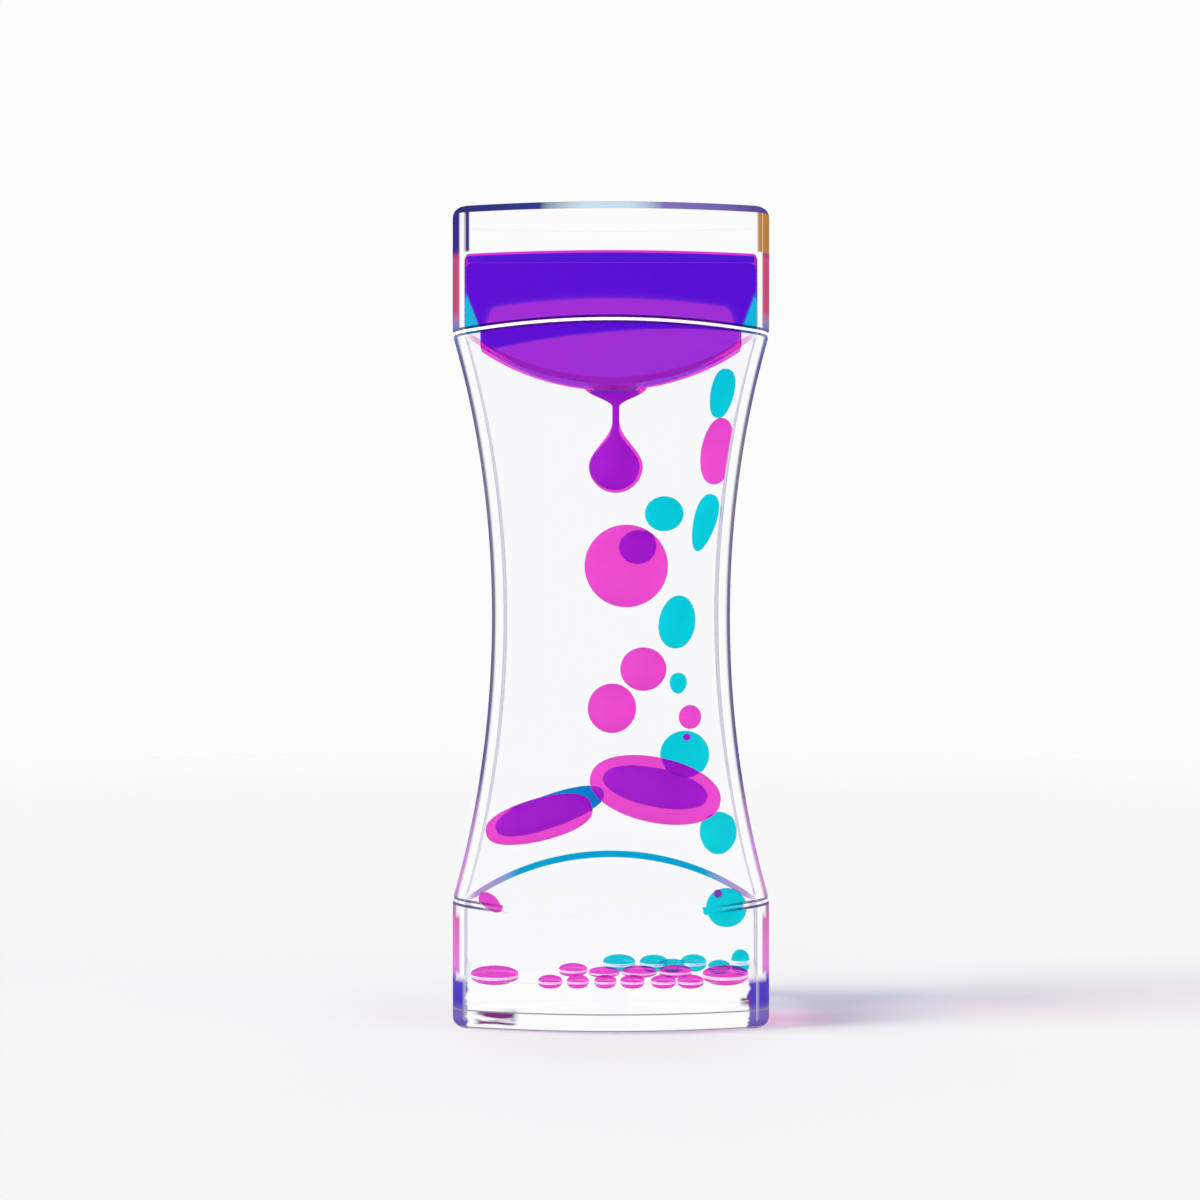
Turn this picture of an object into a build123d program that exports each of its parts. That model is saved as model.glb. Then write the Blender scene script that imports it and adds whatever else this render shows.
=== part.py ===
"""Liquid motion timer: a sealed clear hourglass block with two coloured streams of drops.

Units are millimetres, +Z is up, the front faces -Y and the base stands on Z = 0.
"""

from build123d import *

import os
from functools import cache
from math import sqrt
from typing import NamedTuple

# Driving sizes of the clear body
HEIGHT = 150.0
WIDTH = 58.0
DEPTH = 34.0
WAIST_WIDTH = 43.4
SHOULDER_HEIGHT = 23.4
SHOULDER_BLEND = 12.0
FACE_CROWN = 4.5
CORNER_RADIUS = 4.4
RIM_RADIUS = 2.0
WALL = 2.2
END_THICKNESS = 8.5
CAVITY_ROUND = 2.0

# Driving sizes of the drip trays
FLANGE_THICKNESS = 1.0
ARCH_RISE = 2.0
TROUGH_DEPTH = 8.4
TRAY_WALL = 1.2
ORIFICE_X = 0.9
ORIFICE_RADIUS = 1.2
DRAIN_X = 19.0
DRAIN_RADIUS = 0.9

# Driving sizes of the divider and the fill plugs
DIVIDER_THICKNESS = 1.2
PLUG_RADIUS = 3.0
PLUG_RECESS = 0.4

# Driving sizes of the two hanging drops
ROOT_RADIUS = 5.6
ROOT_HEIGHT = 3.4
ROOT_LIP_SHARE = 0.24
ROOT_SWELL_SHARE = 0.4
NECK_RADIUS = 1.0
NECK_LENGTH = 4.0
HANGING_RADIUS = 4.9
HANGING_LENGTH = 13.0
REAR_HANGING_SHARE = 0.88
HANGING_FALL = 22.0

# Clearances
BOND_GAP = 0.02
TRAY_GAP = 0.1
DIVIDER_GAP = 0.1
LIQUID_GAP = 0.12
DROP_GAP = 0.2
SQUEEZE_GAP = 0.4
BEAD_REST = 0.05

# Inner sizes of the timer that the drops are laid out in; the drops follow when the real rooms change
LAYOUT_HEIGHT = 86.4
LAYOUT_REACH = 51.6
LAYOUT_WAIST = 39.0
LAYOUT_WIDTH = 53.6
LAYOUT_DEPTH = 14.2
LAYOUT_CROWN = 4.5
LAYOUT_SUMP = 14.9

# Sizes that follow from the driving sizes
MIDDLE = HEIGHT / 2
JOINT_Z = HEIGHT - SHOULDER_HEIGHT
CEILING_Z = HEIGHT - END_THICKNESS
FLOOR_Z = END_THICKNESS
TROUGH_Z = JOINT_Z - TROUGH_DEPTH
FREE_HEIGHT = 2 * (TROUGH_Z - MIDDLE)
SIDE_DIP = (WIDTH - WAIST_WIDTH) / 2
SIDE_RADIUS = ((JOINT_Z - MIDDLE) ** 2 + SIDE_DIP**2) / (2 * SIDE_DIP)
SIDE_CENTRE_X = WAIST_WIDTH / 2 + SIDE_RADIUS
CROWN_RADIUS = ((WIDTH / 2) ** 2 + FACE_CROWN**2) / (2 * FACE_CROWN)
CROWN_CENTRE_Y = CROWN_RADIUS - DEPTH / 2
ARCH_RADIUS = ((WIDTH / 2) ** 2 + ARCH_RISE**2) / (2 * ARCH_RISE)
ARCH_CENTRE_Z = JOINT_Z + ARCH_RISE - ARCH_RADIUS
TROUGH_HALF = WIDTH / 2 - WALL
TROUGH_RADIUS = (TROUGH_HALF**2 + TROUGH_DEPTH**2) / (2 * TROUGH_DEPTH)
TROUGH_CENTRE_Z = TROUGH_Z + TROUGH_RADIUS
PAN_INSET = WALL + TRAY_GAP + TRAY_WALL
DIVIDER_FACE = DIVIDER_THICKNESS / 2
CHAMBER_DEPTH = DEPTH / 2 - WALL - DIVIDER_FACE
CHAMBER_Y = DIVIDER_FACE + CHAMBER_DEPTH / 2
STRETCH_UP = FREE_HEIGHT / LAYOUT_HEIGHT
STRETCH_WAIST = (WAIST_WIDTH - 2 * WALL) / LAYOUT_WAIST
STRETCH_WIDTH = (WIDTH - 2 * WALL) / LAYOUT_WIDTH
STRETCH_DEPTH = CHAMBER_DEPTH / LAYOUT_DEPTH
STRETCH_SUMP = (SHOULDER_HEIGHT - END_THICKNESS) / LAYOUT_SUMP
HANGING_SIZE = min(STRETCH_UP, STRETCH_WAIST, STRETCH_DEPTH)
NECK_TOP = TROUGH_Z - ROOT_HEIGHT * HANGING_SIZE
HANGING_DROP_FALL = HANGING_FALL * STRETCH_UP

FRONT = -1
REAR = 1


class Drop(NamedTuple):
    """One drop: its place from the column's centre, its half sizes, its lean and its fall.

    A drop with a half depth of its own is a disc with that depth, round as seen from the front.
    """

    name: str
    chamber: int
    across: float
    up: float
    half_long: float
    half_short: float
    lean: float
    fall_across: float
    fall_up: float
    half_deep: float = 0.0
    shift_back: float = 0.0


# Falling drops in the clear column, front chamber first
COLUMN_DROPS = [
    Drop("front_big_drop", FRONT, 2.8, 9.35, 7.6, 7.6, 0, -1.3, -21.0, 6.4),
    Drop("front_wall_drop", FRONT, 18.4, 30.4, 6.2, 3.0, 81, -2.1, -9.5, 0.0, -1.8),
    Drop("front_round_drop_upper", FRONT, 5.9, -9.6, 4.2, 4.0, 0, 0.3, -13.6),
    Drop("front_round_drop_lower", FRONT, 0.2, -16.8, 4.55, 4.4, 90, -5.2, -7.2),
    Drop("front_small_drop", FRONT, 14.4, -18.4, 2.2, 2.05, 90, 0.0, -8.1),
    Drop("front_bead", FRONT, 13.8, -22.1, 0.7, 0.65, 0, 0.0, -7.9),
    Drop("front_wide_drop_right", FRONT, 8.1, -31.8, 12.1, 6.0, -12, 0.0, -4.3),
    Drop("front_wide_drop_left", FRONT, -12.8, -37.3, 10.3, 3.9, 15, 0.0, -2.6),
    Drop("rear_hidden_drop", REAR, 5.2, 13.0, 3.7, 3.4, 0, 0.0, -25.0),
    Drop("rear_round_drop", REAR, 10.0, 19.6, 3.6, 3.35, 0, -0.8, -18.1),
    Drop("rear_slim_drop", REAR, 17.4, 17.9, 5.9, 2.2, 75, -1.2, -8.0),
    Drop("rear_top_drop", REAR, 20.8, 42.6, 4.8, 2.2, 78, -2.7, -11.0),
    Drop("rear_egg_drop", REAR, 12.4, -1.1, 5.1, 3.4, 82, 0.0, -8.7),
    Drop("rear_small_drop", REAR, 12.6, -12.8, 2.0, 1.6, 90, 0.0, -6.0),
    Drop("rear_large_drop", REAR, 13.9, -26.7, 4.6, 4.6, 0, 0.0, -6.0, 1.5, 3.5),
    Drop("rear_wide_drop_right", REAR, 8.3, -32.5, 9.8, 3.6, -12, -1.2, -2.2, 0.0, -2.6),
    Drop("rear_wide_drop_left", REAR, -11.2, -36.6, 8.9, 3.1, 15, 0.0, -2.6),
    Drop("rear_tear_drop", REAR, 19.8, -41.6, 4.2, 3.4, 90, 0.3, -1.1, 0.0, -0.9),
]

# Drops that have reached the lower reservoir and still sink; heights are above its floor
SUNK_DROPS = [
    Drop("front_last_bead", FRONT, 19.5, 15.6, 0.8, 0.75, 0, 0.0, -10.8),
    Drop("front_corner_drop", FRONT, -22.4, 13.6, 1.9, 1.1, -40, 0.0, -8.3),
    Drop("rear_sunk_drop", REAR, 21.6, 10.8, 3.9, 3.7, 0, 0.0, -6.3),
]


class Bead(NamedTuple):
    """One settled bead on the reservoir floor: place and half sizes."""

    across: float
    back: float
    half_wide: float
    half_high: float


# Beads that have settled, measured from the column's centre and the chamber's middle
FRONT_BEADS = [
    Bead(-11.0, -3.0, 2.2, 1.2),
    Bead(-6.1, -3.0, 2.2, 1.2),
    Bead(-1.1, -3.0, 2.2, 1.2),
    Bead(3.9, -3.0, 2.2, 1.2),
    Bead(9.5, -3.0, 2.4, 1.2),
    Bead(14.5, -3.0, 2.2, 1.2),
    Bead(-6.9, 3.6, 2.8, 1.5),
    Bead(-1.2, 3.6, 2.4, 1.3),
    Bead(5.4, 3.6, 2.8, 1.4),
    Bead(11.6, 3.6, 2.6, 1.4),
    Bead(-21.0, 0.6, 4.0, 1.6),
    Bead(20.8, 0.6, 3.8, 1.7),
]
REAR_BEADS = [
    Bead(1.6, -1.0, 3.0, 1.6),
    Bead(7.8, -1.4, 2.6, 1.2),
    Bead(14.6, -1.0, 2.4, 1.3),
    Bead(-9.0, 0.5, 1.4, 0.7),
]


def side_outline(inset):
    """Front outline of the hourglass, drawn in from the outside by the inset."""
    half = WIDTH / 2 - inset
    waist = WAIST_WIDTH / 2 - inset
    reach = sqrt((SIDE_RADIUS + inset) ** 2 - (SIDE_CENTRE_X - half) ** 2)
    low = MIDDLE - reach
    high = MIDDLE + reach
    outline = make_face(
        [
            Line((-half, 0), (half, 0)),
            Line((half, 0), (half, low)),
            ThreePointArc((half, low), (waist, MIDDLE), (half, high)),
            Line((half, high), (half, HEIGHT)),
            Line((half, HEIGHT), (-half, HEIGHT)),
            Line((-half, HEIGHT), (-half, high)),
            ThreePointArc((-half, high), (-waist, MIDDLE), (-half, low)),
            Line((-half, low), (-half, 0)),
        ]
    )
    shoulders = [v for v in outline.vertices() if 0.01 < v.Y < HEIGHT - 0.01]
    return fillet(shoulders, SHOULDER_BLEND - inset)


@cache
def body_block(inset):
    """The whole outer block, or the block drawn in by the inset, with rounded upright corners."""
    slab = extrude(Plane.XZ * side_outline(inset), amount=DEPTH, both=True)
    crown = Cylinder(CROWN_RADIUS - inset, HEIGHT)
    front = Pos(0, CROWN_CENTRE_Y, MIDDLE) * crown
    rear = Pos(0, -CROWN_CENTRE_Y, MIDDLE) * crown
    block = slab & front & rear
    upright = [e for e in block.edges() if e.bounding_box().size.Z > 0.5]
    return fillet(upright, CORNER_RADIUS - inset)


def across_roller(radius, z):
    """A long cylinder lying front to back, used to shape arched and troughed surfaces."""
    return Pos(0, 0, z) * Rot(90, 0, 0) * Cylinder(radius, 3 * DEPTH)


def below_arch(lift):
    """Everything under the arched upper joint, raised by the lift."""
    return across_roller(ARCH_RADIUS + lift, ARCH_CENTRE_Z)


def above_trough(grow):
    """Everything above the trough of the upper tray, grown downwards by the amount given."""
    return across_roller(TROUGH_RADIUS + grow, TROUGH_CENTRE_Z)


def flipped(shape):
    """The same shape turned over about the middle height."""
    return mirror(shape, about=Plane.XY.offset(MIDDLE))


def rooms(chamber):
    """The half of space in front of or behind the divider, clear of it by the liquid gap."""
    face = DIVIDER_FACE + LIQUID_GAP
    return Pos(0, chamber * (face + DEPTH), MIDDLE) * Box(3 * WIDTH, 2 * DEPTH, 2 * HEIGHT)


def cap_cavity(inset):
    """The hollow of the upper cap with its ceiling edge rounded."""
    top = CEILING_Z - (inset - WALL)
    slab = Pos(0, 0, top - HEIGHT / 2) * Box(2 * WIDTH, 2 * DEPTH, HEIGHT)
    hollow = body_block(inset) & slab
    ceiling = hollow.faces().sort_by(Axis.Z)[-1]
    return fillet(ceiling.edges(), CAVITY_ROUND - (inset - WALL))


@cache
def upper_reservoir(gap):
    """The room above the upper tray, drawn in from the cap and the tray by the gap."""
    in_cap = cap_cavity(WALL + gap) - below_arch(FLANGE_THICKNESS / 2 + gap)
    in_pan = body_block(PAN_INSET + gap) & above_trough(-TRAY_WALL - gap)
    in_pan = in_pan & below_arch(2 * FLANGE_THICKNESS)
    return in_cap + in_pan


@cache
def column_room(gap):
    """The room between the two trays, drawn in from the tube and the trays by the gap."""
    room = body_block(WALL + gap)
    room = room & below_arch(-FLANGE_THICKNESS / 2 - gap)
    room = room & flipped(below_arch(-FLANGE_THICKNESS / 2 - gap))
    room = room - above_trough(gap)
    return room - flipped(above_trough(gap))


@cache
def make_upper_cap():
    """Thick clear end with its side walls, down to the arched joint."""
    cap = body_block(0) - cap_cavity(WALL) - below_arch(FLANGE_THICKNESS / 2 + BOND_GAP)
    top = cap.faces().sort_by(Axis.Z)[-1]
    return fillet(top.outer_wire().edges(), RIM_RADIUS)


def make_lower_cap():
    """The same end turned over, bored for the two fill plugs."""
    cap = flipped(make_upper_cap())
    for chamber in (FRONT, REAR):
        bore = Pos(0, chamber * CHAMBER_Y, END_THICKNESS / 2) * Cylinder(PLUG_RADIUS, 2 * END_THICKNESS)
        cap = cap - bore
    return cap


def make_plug(chamber):
    """Round plug bonded into a fill bore, set up from the base so that it cannot rock."""
    length = END_THICKNESS - PLUG_RECESS
    plug = Cylinder(PLUG_RADIUS - BOND_GAP, length)
    return Pos(0, chamber * CHAMBER_Y, PLUG_RECESS + length / 2) * plug


def make_tube():
    """Waisted clear tube between the two arched joints."""
    tube = body_block(0) - body_block(WALL)
    tube = tube & below_arch(-FLANGE_THICKNESS / 2 - BOND_GAP)
    return tube & flipped(below_arch(-FLANGE_THICKNESS / 2 - BOND_GAP))


def make_upper_tray():
    """Flange held between cap and tube, with a trough-shaped pan, two orifices and end drains."""
    flange = body_block(0) & below_arch(FLANGE_THICKNESS / 2)
    flange = flange - below_arch(-FLANGE_THICKNESS / 2)
    pan = body_block(WALL + TRAY_GAP) & above_trough(0) & below_arch(0)
    hollow = body_block(PAN_INSET) & above_trough(-TRAY_WALL)
    tray = flange + pan - hollow
    for chamber in (FRONT, REAR):
        tray = tray - Pos(ORIFICE_X, chamber * CHAMBER_Y, TROUGH_Z) * Cylinder(ORIFICE_RADIUS, 4 * TRAY_WALL)
        for side in (-1, 1):
            drain = Cylinder(DRAIN_RADIUS, 2 * TROUGH_DEPTH)
            tray = tray - Pos(side * DRAIN_X, chamber * CHAMBER_Y * 0.9, TROUGH_Z) * drain
    return tray


def divider_slab():
    """A thin upright slab across the whole width at mid depth."""
    return Pos(0, 0, MIDDLE) * Box(2 * WIDTH, DIVIDER_THICKNESS, 2 * HEIGHT)


def make_pool(chamber):
    """Coloured liquid that fills one half of the upper reservoir."""
    return upper_reservoir(LIQUID_GAP) & rooms(chamber)


def hanging_share(chamber):
    """Size of a hanging drop against its layout; the rear one is a little smaller than the front one."""
    return HANGING_SIZE if chamber == FRONT else HANGING_SIZE * REAR_HANGING_SHARE


def make_root(chamber):
    """Liquid that clings under one orifice, with a stem up through the orifice."""
    wide = ROOT_RADIUS * hanging_share(chamber)
    neck = NECK_RADIUS * hanging_share(chamber)
    height = TROUGH_Z - NECK_TOP
    lip = TROUGH_Z - height * ROOT_LIP_SHARE
    swell = height * ROOT_SWELL_SHARE
    top = TROUGH_Z + height
    outline = make_face(
        [
            Line((0, NECK_TOP), (neck, NECK_TOP)),
            Bezier((neck, NECK_TOP), (neck, NECK_TOP + swell), (wide, lip - swell), (wide, lip)),
            Line((wide, lip), (wide, top)),
            Line((wide, top), (0, top)),
            Line((0, top), (0, NECK_TOP)),
        ]
    )
    bulb = revolve(Plane.XZ * outline, Axis.Z)
    stem_height = height + TRAY_WALL
    stem = Pos(0, 0, NECK_TOP + stem_height / 2) * Cylinder(ORIFICE_RADIUS - LIQUID_GAP, stem_height)
    stem = stem - Pos(0, 0, NECK_TOP) * Cylinder(ORIFICE_RADIUS, height)
    place = Pos(ORIFICE_X, chamber * CHAMBER_Y, 0)
    return place * bulb - above_trough(LIQUID_GAP) + place * stem


def make_hanging_drop(chamber, grow):
    """Drop that hangs on its thin neck under one orifice."""
    share = hanging_share(chamber)
    wide = HANGING_RADIUS * share + grow
    neck = NECK_RADIUS * share + grow
    top = NECK_TOP - DROP_GAP + grow
    shoulder = NECK_TOP - NECK_LENGTH * HANGING_SIZE
    tip = shoulder - HANGING_LENGTH * share - grow
    widest = tip + wide
    reach = (shoulder - widest) / 2
    outline = make_face(
        [
            CenterArc((0, widest), wide, 270, 90),
            Bezier((wide, widest), (wide, widest + reach), (neck, shoulder - reach), (neck, shoulder)),
            Line((neck, shoulder), (neck, top)),
            Line((neck, top), (0, top)),
            Line((0, top), (0, tip)),
        ]
    )
    return Pos(ORIFICE_X, chamber * CHAMBER_Y, 0) * revolve(Plane.XZ * outline, Axis.Z)


def long_drop(half_long, half_short):
    """Rounded drop that is round about its long axis, which lies along X."""
    upper_side = Pos(0, half_short) * Rectangle(4 * half_long, 2 * half_short)
    upper_half = Ellipse(half_long, half_short) & upper_side
    return revolve(upper_half, Axis.X)


def flat_drop(half_wide, half_thick):
    """Lens-shaped drop that is round about Z."""
    edge = EllipticalCenterArc((0, 0), half_wide, half_thick, start_angle=0, arc_size=90)
    quarter = make_face([Line((0, 0), (half_wide, 0)), edge, Line((0, half_thick), (0, 0))])
    dome = revolve(Plane.XZ * quarter, Axis.Z)
    return dome + mirror(dome, about=Plane.XY)


def squeezed(half_size):
    """A half depth, held to what the chamber leaves."""
    return min(half_size, CHAMBER_DEPTH / 2 - SQUEEZE_GAP)


class Stretch(NamedTuple):
    """How far the layout stretches at one place along each axis, and how far sizes grow with it."""

    across: float
    deep: float
    up: float
    size: float


def depth_stretch(across_share):
    """Stretch of a chamber's depth at a share of the half width, where the crowned face curves away."""
    curve = across_share**2
    return (CHAMBER_DEPTH - FACE_CROWN * curve) / (LAYOUT_DEPTH - LAYOUT_CROWN * curve)


def column_stretch(across, up):
    """Stretch at a place in the waisted column, laid out from its middle."""
    flare = (up * STRETCH_UP / (JOINT_Z - MIDDLE)) ** 2
    layout_flare = (up / LAYOUT_REACH) ** 2
    bore = WAIST_WIDTH - 2 * WALL + 2 * SIDE_DIP * flare
    wide = bore / (LAYOUT_WAIST + (LAYOUT_WIDTH - LAYOUT_WAIST) * layout_flare)
    deep = depth_stretch(2 * across / LAYOUT_WIDTH)
    return Stretch(wide, deep, STRETCH_UP, min(wide, deep, STRETCH_UP))


def sump_stretch(across):
    """Stretch at a place in the lower reservoir."""
    deep = depth_stretch(2 * across / LAYOUT_WIDTH)
    return Stretch(STRETCH_WIDTH, deep, STRETCH_SUMP, min(STRETCH_WIDTH, deep, STRETCH_SUMP))


def stretch_at(drop, across, up):
    """Stretch at a place that a drop lies in or falls to."""
    return sump_stretch(across) if drop in SUNK_DROPS else column_stretch(across, up)


def layout_place(drop, across, up):
    """Real place for a place in the layout of a drop's own room."""
    stretch = stretch_at(drop, across, up)
    base = FLOOR_Z if drop in SUNK_DROPS else MIDDLE
    y = DIVIDER_FACE + (LAYOUT_DEPTH / 2 + drop.shift_back) * stretch.deep
    return (across * stretch.across, drop.chamber * y, base + up * stretch.up)


def drop_centre(drop):
    """Place of a drop's centre."""
    return layout_place(drop, drop.across, drop.up)


def drop_fall(drop):
    """Vector from a drop's place to where its fall ends."""
    start = drop_centre(drop)
    end = layout_place(drop, drop.across + drop.fall_across, drop.up + drop.fall_up)
    return (end[0] - start[0], 0.0, end[2] - start[2])


def make_drop(drop, grow):
    """One drop in place, grown all round by the amount given."""
    size = stretch_at(drop, drop.across, drop.up).size
    if drop.half_deep:
        solid = flat_drop(drop.half_long * size + grow, squeezed(drop.half_deep * size) + grow)
        solid = Rot(90, 0, 0) * solid
    else:
        solid = long_drop(drop.half_long * size + grow, squeezed(drop.half_short * size) + grow)
    return Pos(*drop_centre(drop)) * Rot(0, -drop.lean, 0) * solid


def make_beads(beads, chamber, grow):
    """The settled beads of one chamber, each resting on the reservoir floor."""
    solids = []
    for bead in beads:
        stretch = sump_stretch(bead.across)
        high = bead.half_high * stretch.size
        x = bead.across * stretch.across
        y = chamber * (DIVIDER_FACE + LAYOUT_DEPTH / 2 * stretch.deep) + bead.back * stretch.deep
        solid = flat_drop(bead.half_wide * stretch.size + grow, high + grow)
        solids.append(Pos(x, y, FLOOR_Z + high + BEAD_REST) * solid)
    return solids


def make_column_fluid(chamber, roots):
    """Clear fluid of one half of the column, hollowed for the drops that hang in it."""
    fluid = column_room(LIQUID_GAP) & rooms(chamber)
    fluid = fluid - make_hanging_drop(chamber, DROP_GAP)
    fluid = fluid - roots[chamber]
    for drop in COLUMN_DROPS:
        if drop.chamber == chamber:
            fluid = fluid - make_drop(drop, DROP_GAP)
    return fluid


def make_lower_fluid(chamber, beads):
    """Clear fluid of one half of the lower reservoir, hollowed for its drops and beads."""
    fluid = flipped(upper_reservoir(LIQUID_GAP)) & rooms(chamber)
    for drop in SUNK_DROPS:
        if drop.chamber == chamber:
            fluid = fluid - make_drop(drop, DROP_GAP)
    for bead in make_beads(beads, chamber, LIQUID_GAP):
        fluid = fluid - bead
    return fluid


def make_nodes():
    """Every piece of the timer by its node name."""
    roots = {FRONT: make_root(FRONT), REAR: make_root(REAR)}
    reservoir = upper_reservoir(DIVIDER_GAP)
    upper_divider = reservoir & divider_slab()
    tray = make_upper_tray()
    nodes = {
        "upper_cap": make_upper_cap(),
        "lower_cap": make_lower_cap(),
        "waist_tube": make_tube(),
        "upper_tray": tray,
        "lower_tray": flipped(tray),
        "upper_divider": upper_divider,
        "column_divider": column_room(DIVIDER_GAP) & divider_slab(),
        "lower_divider": flipped(upper_divider),
        "front_fill_plug": make_plug(FRONT),
        "rear_fill_plug": make_plug(REAR),
        "front_pool": make_pool(FRONT),
        "rear_pool": make_pool(REAR),
        "front_drop_root": roots[FRONT],
        "rear_drop_root": roots[REAR],
        "front_hanging_drop": make_hanging_drop(FRONT, 0),
        "rear_hanging_drop": make_hanging_drop(REAR, 0),
        "front_settled_beads": Compound(children=make_beads(FRONT_BEADS, FRONT, 0)),
        "rear_settled_beads": Compound(children=make_beads(REAR_BEADS, REAR, 0)),
        "front_column_fluid": make_column_fluid(FRONT, roots),
        "rear_column_fluid": make_column_fluid(REAR, roots),
        "front_lower_fluid": make_lower_fluid(FRONT, FRONT_BEADS),
        "rear_lower_fluid": make_lower_fluid(REAR, REAR_BEADS),
    }
    for drop in COLUMN_DROPS + SUNK_DROPS:
        nodes[drop.name] = make_drop(drop, 0)
    return nodes


def main():
    """Write one file for each piece and print how far each drop falls."""
    os.makedirs("parts", exist_ok=True)
    for name, shape in make_nodes().items():
        export_step(shape, "parts/" + name + ".step")
        print(name, "volume", round(shape.volume, 2), "solids", len(shape.solids()))
    for drop in COLUMN_DROPS + SUNK_DROPS:
        fall = drop_fall(drop)
        print(drop.name, "falls across", round(fall[0], 3), "and up", round(fall[2], 3))
    print("each hanging drop falls", round(HANGING_DROP_FALL, 3))


if __name__ == "__main__":
    main()
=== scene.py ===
# %% [markdown]
# # A liquid motion timer
# The timer is a sealed block of clear acrylic with a waist. Two coloured liquids drip from a tray
# at the top, sink through clear fluid and gather on the floor of the lower end. This lesson dresses
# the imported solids: smooth clear shells for the moulded parts, and liquid skins for the drops.

# %% Load the frame
from functools import partial
from math import asin, cos, pi, radians, sin, sqrt

import bmesh
import bpy
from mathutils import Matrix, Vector


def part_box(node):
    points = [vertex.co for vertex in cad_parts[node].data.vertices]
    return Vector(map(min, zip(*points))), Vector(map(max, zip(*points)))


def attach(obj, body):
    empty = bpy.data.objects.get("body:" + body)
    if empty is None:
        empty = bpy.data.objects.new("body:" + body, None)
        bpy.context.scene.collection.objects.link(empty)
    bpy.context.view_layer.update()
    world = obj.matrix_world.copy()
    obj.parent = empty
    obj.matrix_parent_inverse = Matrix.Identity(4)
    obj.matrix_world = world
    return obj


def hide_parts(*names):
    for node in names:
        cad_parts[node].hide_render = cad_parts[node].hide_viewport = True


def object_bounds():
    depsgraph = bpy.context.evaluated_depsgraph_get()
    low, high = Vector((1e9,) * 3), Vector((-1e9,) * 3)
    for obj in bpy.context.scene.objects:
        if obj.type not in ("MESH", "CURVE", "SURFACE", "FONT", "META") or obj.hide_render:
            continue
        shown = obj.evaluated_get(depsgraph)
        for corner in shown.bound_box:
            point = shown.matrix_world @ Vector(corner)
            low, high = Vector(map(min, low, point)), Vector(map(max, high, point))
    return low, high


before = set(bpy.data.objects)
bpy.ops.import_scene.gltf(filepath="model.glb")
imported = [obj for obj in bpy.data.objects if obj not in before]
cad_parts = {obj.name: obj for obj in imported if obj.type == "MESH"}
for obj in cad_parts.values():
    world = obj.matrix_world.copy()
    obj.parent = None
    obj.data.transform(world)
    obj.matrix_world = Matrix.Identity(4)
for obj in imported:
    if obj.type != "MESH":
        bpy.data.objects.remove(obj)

cad_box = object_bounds()
print("pieces in the frame:", len(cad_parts))

# %% [markdown]
# ## Sizes
# Lengths are in millimetres and become metres when a mesh is made. The overall sizes come from the
# frame. The rest are the sizes that a mould maker would read from the drawing: wall, corner and rim
# radii, the crown of the two faces, and the arch of the joints between the ends and the tube.

# %% Sizes of the clear body
MM = 0.001
WIDTH = (cad_box[1][0] - cad_box[0][0]) / MM
DEPTH = (cad_box[1][1] - cad_box[0][1]) / MM
HEIGHT = (cad_box[1][2] - cad_box[0][2]) / MM
MIDDLE = HEIGHT / 2
WAIST_WIDTH = 43.4
SHOULDER_HEIGHT = 23.4
SHOULDER_BLEND = 12.0
FACE_CROWN = 4.5
CORNER_RADIUS = 3.7
RIM_RADIUS = 2.0
REAR_RIM_RADIUS = 0.06
WALL = 2.2
END_THICKNESS = 8.5
CAVITY_ROUND = 1.0
FLANGE = 1.0
ARCH_RISE = 2.0
TROUGH_DEPTH = 9.5
TRAY_WALL = 1.2
TRAY_GAP = 0.1
BOND_GAP = 0.02
SKIN_GAP = 0.08
DIVIDER_HALF = 0.6
PAN_INSET = WALL + TRAY_GAP + TRAY_WALL
JOINT_Z = HEIGHT - SHOULDER_HEIGHT
CEILING_Z = HEIGHT - END_THICKNESS
WHOLE_DEPTH = (-DEPTH, DEPTH)
print("body", round(WIDTH, 2), "x", round(DEPTH, 2), "x", round(HEIGHT, 2), "mm")

# %% [markdown]
# ## The waisted outline
# A real mould for this body is cut from a few arcs: one long arc down each side, a short blend at
# each shoulder, a shallow crown on both faces and a round on each upright corner. A subdivided cube
# would only come near them, so the outline is worked out from the arcs themselves, and every wall is
# a loft through rings of points that keep the same order at every height.

# %% Arcs of the outline
def arc_radius(half_chord, rise):
    """Radius of an arc from half its chord and its rise."""
    return (half_chord**2 + rise**2) / (2 * rise)


SIDE_DIP = (WIDTH - WAIST_WIDTH) / 2
SIDE_RADIUS = arc_radius(JOINT_Z - MIDDLE, SIDE_DIP)
SIDE_CENTRE = WAIST_WIDTH / 2 + SIDE_RADIUS
BLEND_X = WIDTH / 2 - SHOULDER_BLEND
BLEND_UP = sqrt((SIDE_RADIUS + SHOULDER_BLEND) ** 2 - (SIDE_CENTRE - BLEND_X) ** 2)
CROWN_RADIUS = arc_radius(WIDTH / 2, FACE_CROWN)
CROWN_CENTRE = CROWN_RADIUS - DEPTH / 2
ARCH_RADIUS = arc_radius(WIDTH / 2, ARCH_RISE)
ARCH_CENTRE = JOINT_Z + ARCH_RISE - ARCH_RADIUS
TROUGH_RADIUS = arc_radius(WIDTH / 2 - WALL, TROUGH_DEPTH)
TROUGH_CENTRE = JOINT_Z - TROUGH_DEPTH + TROUGH_RADIUS


def half_width(z, inset):
    """Half width of the body at a height, drawn in by the inset."""
    up = abs(z - MIDDLE)
    side = SIDE_RADIUS + inset
    blend_in = SHOULDER_BLEND - inset
    if up >= BLEND_UP:
        return WIDTH / 2 - inset
    if up <= BLEND_UP * side / (side + blend_in):
        return SIDE_CENTRE - sqrt(side**2 - up**2)
    return BLEND_X + sqrt(blend_in**2 - (BLEND_UP - up) ** 2)


def arch_z(x, lift):
    """Height of the arched upper joint over a place across."""
    return ARCH_CENTRE + sqrt((ARCH_RADIUS + lift) ** 2 - x**2)


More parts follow.
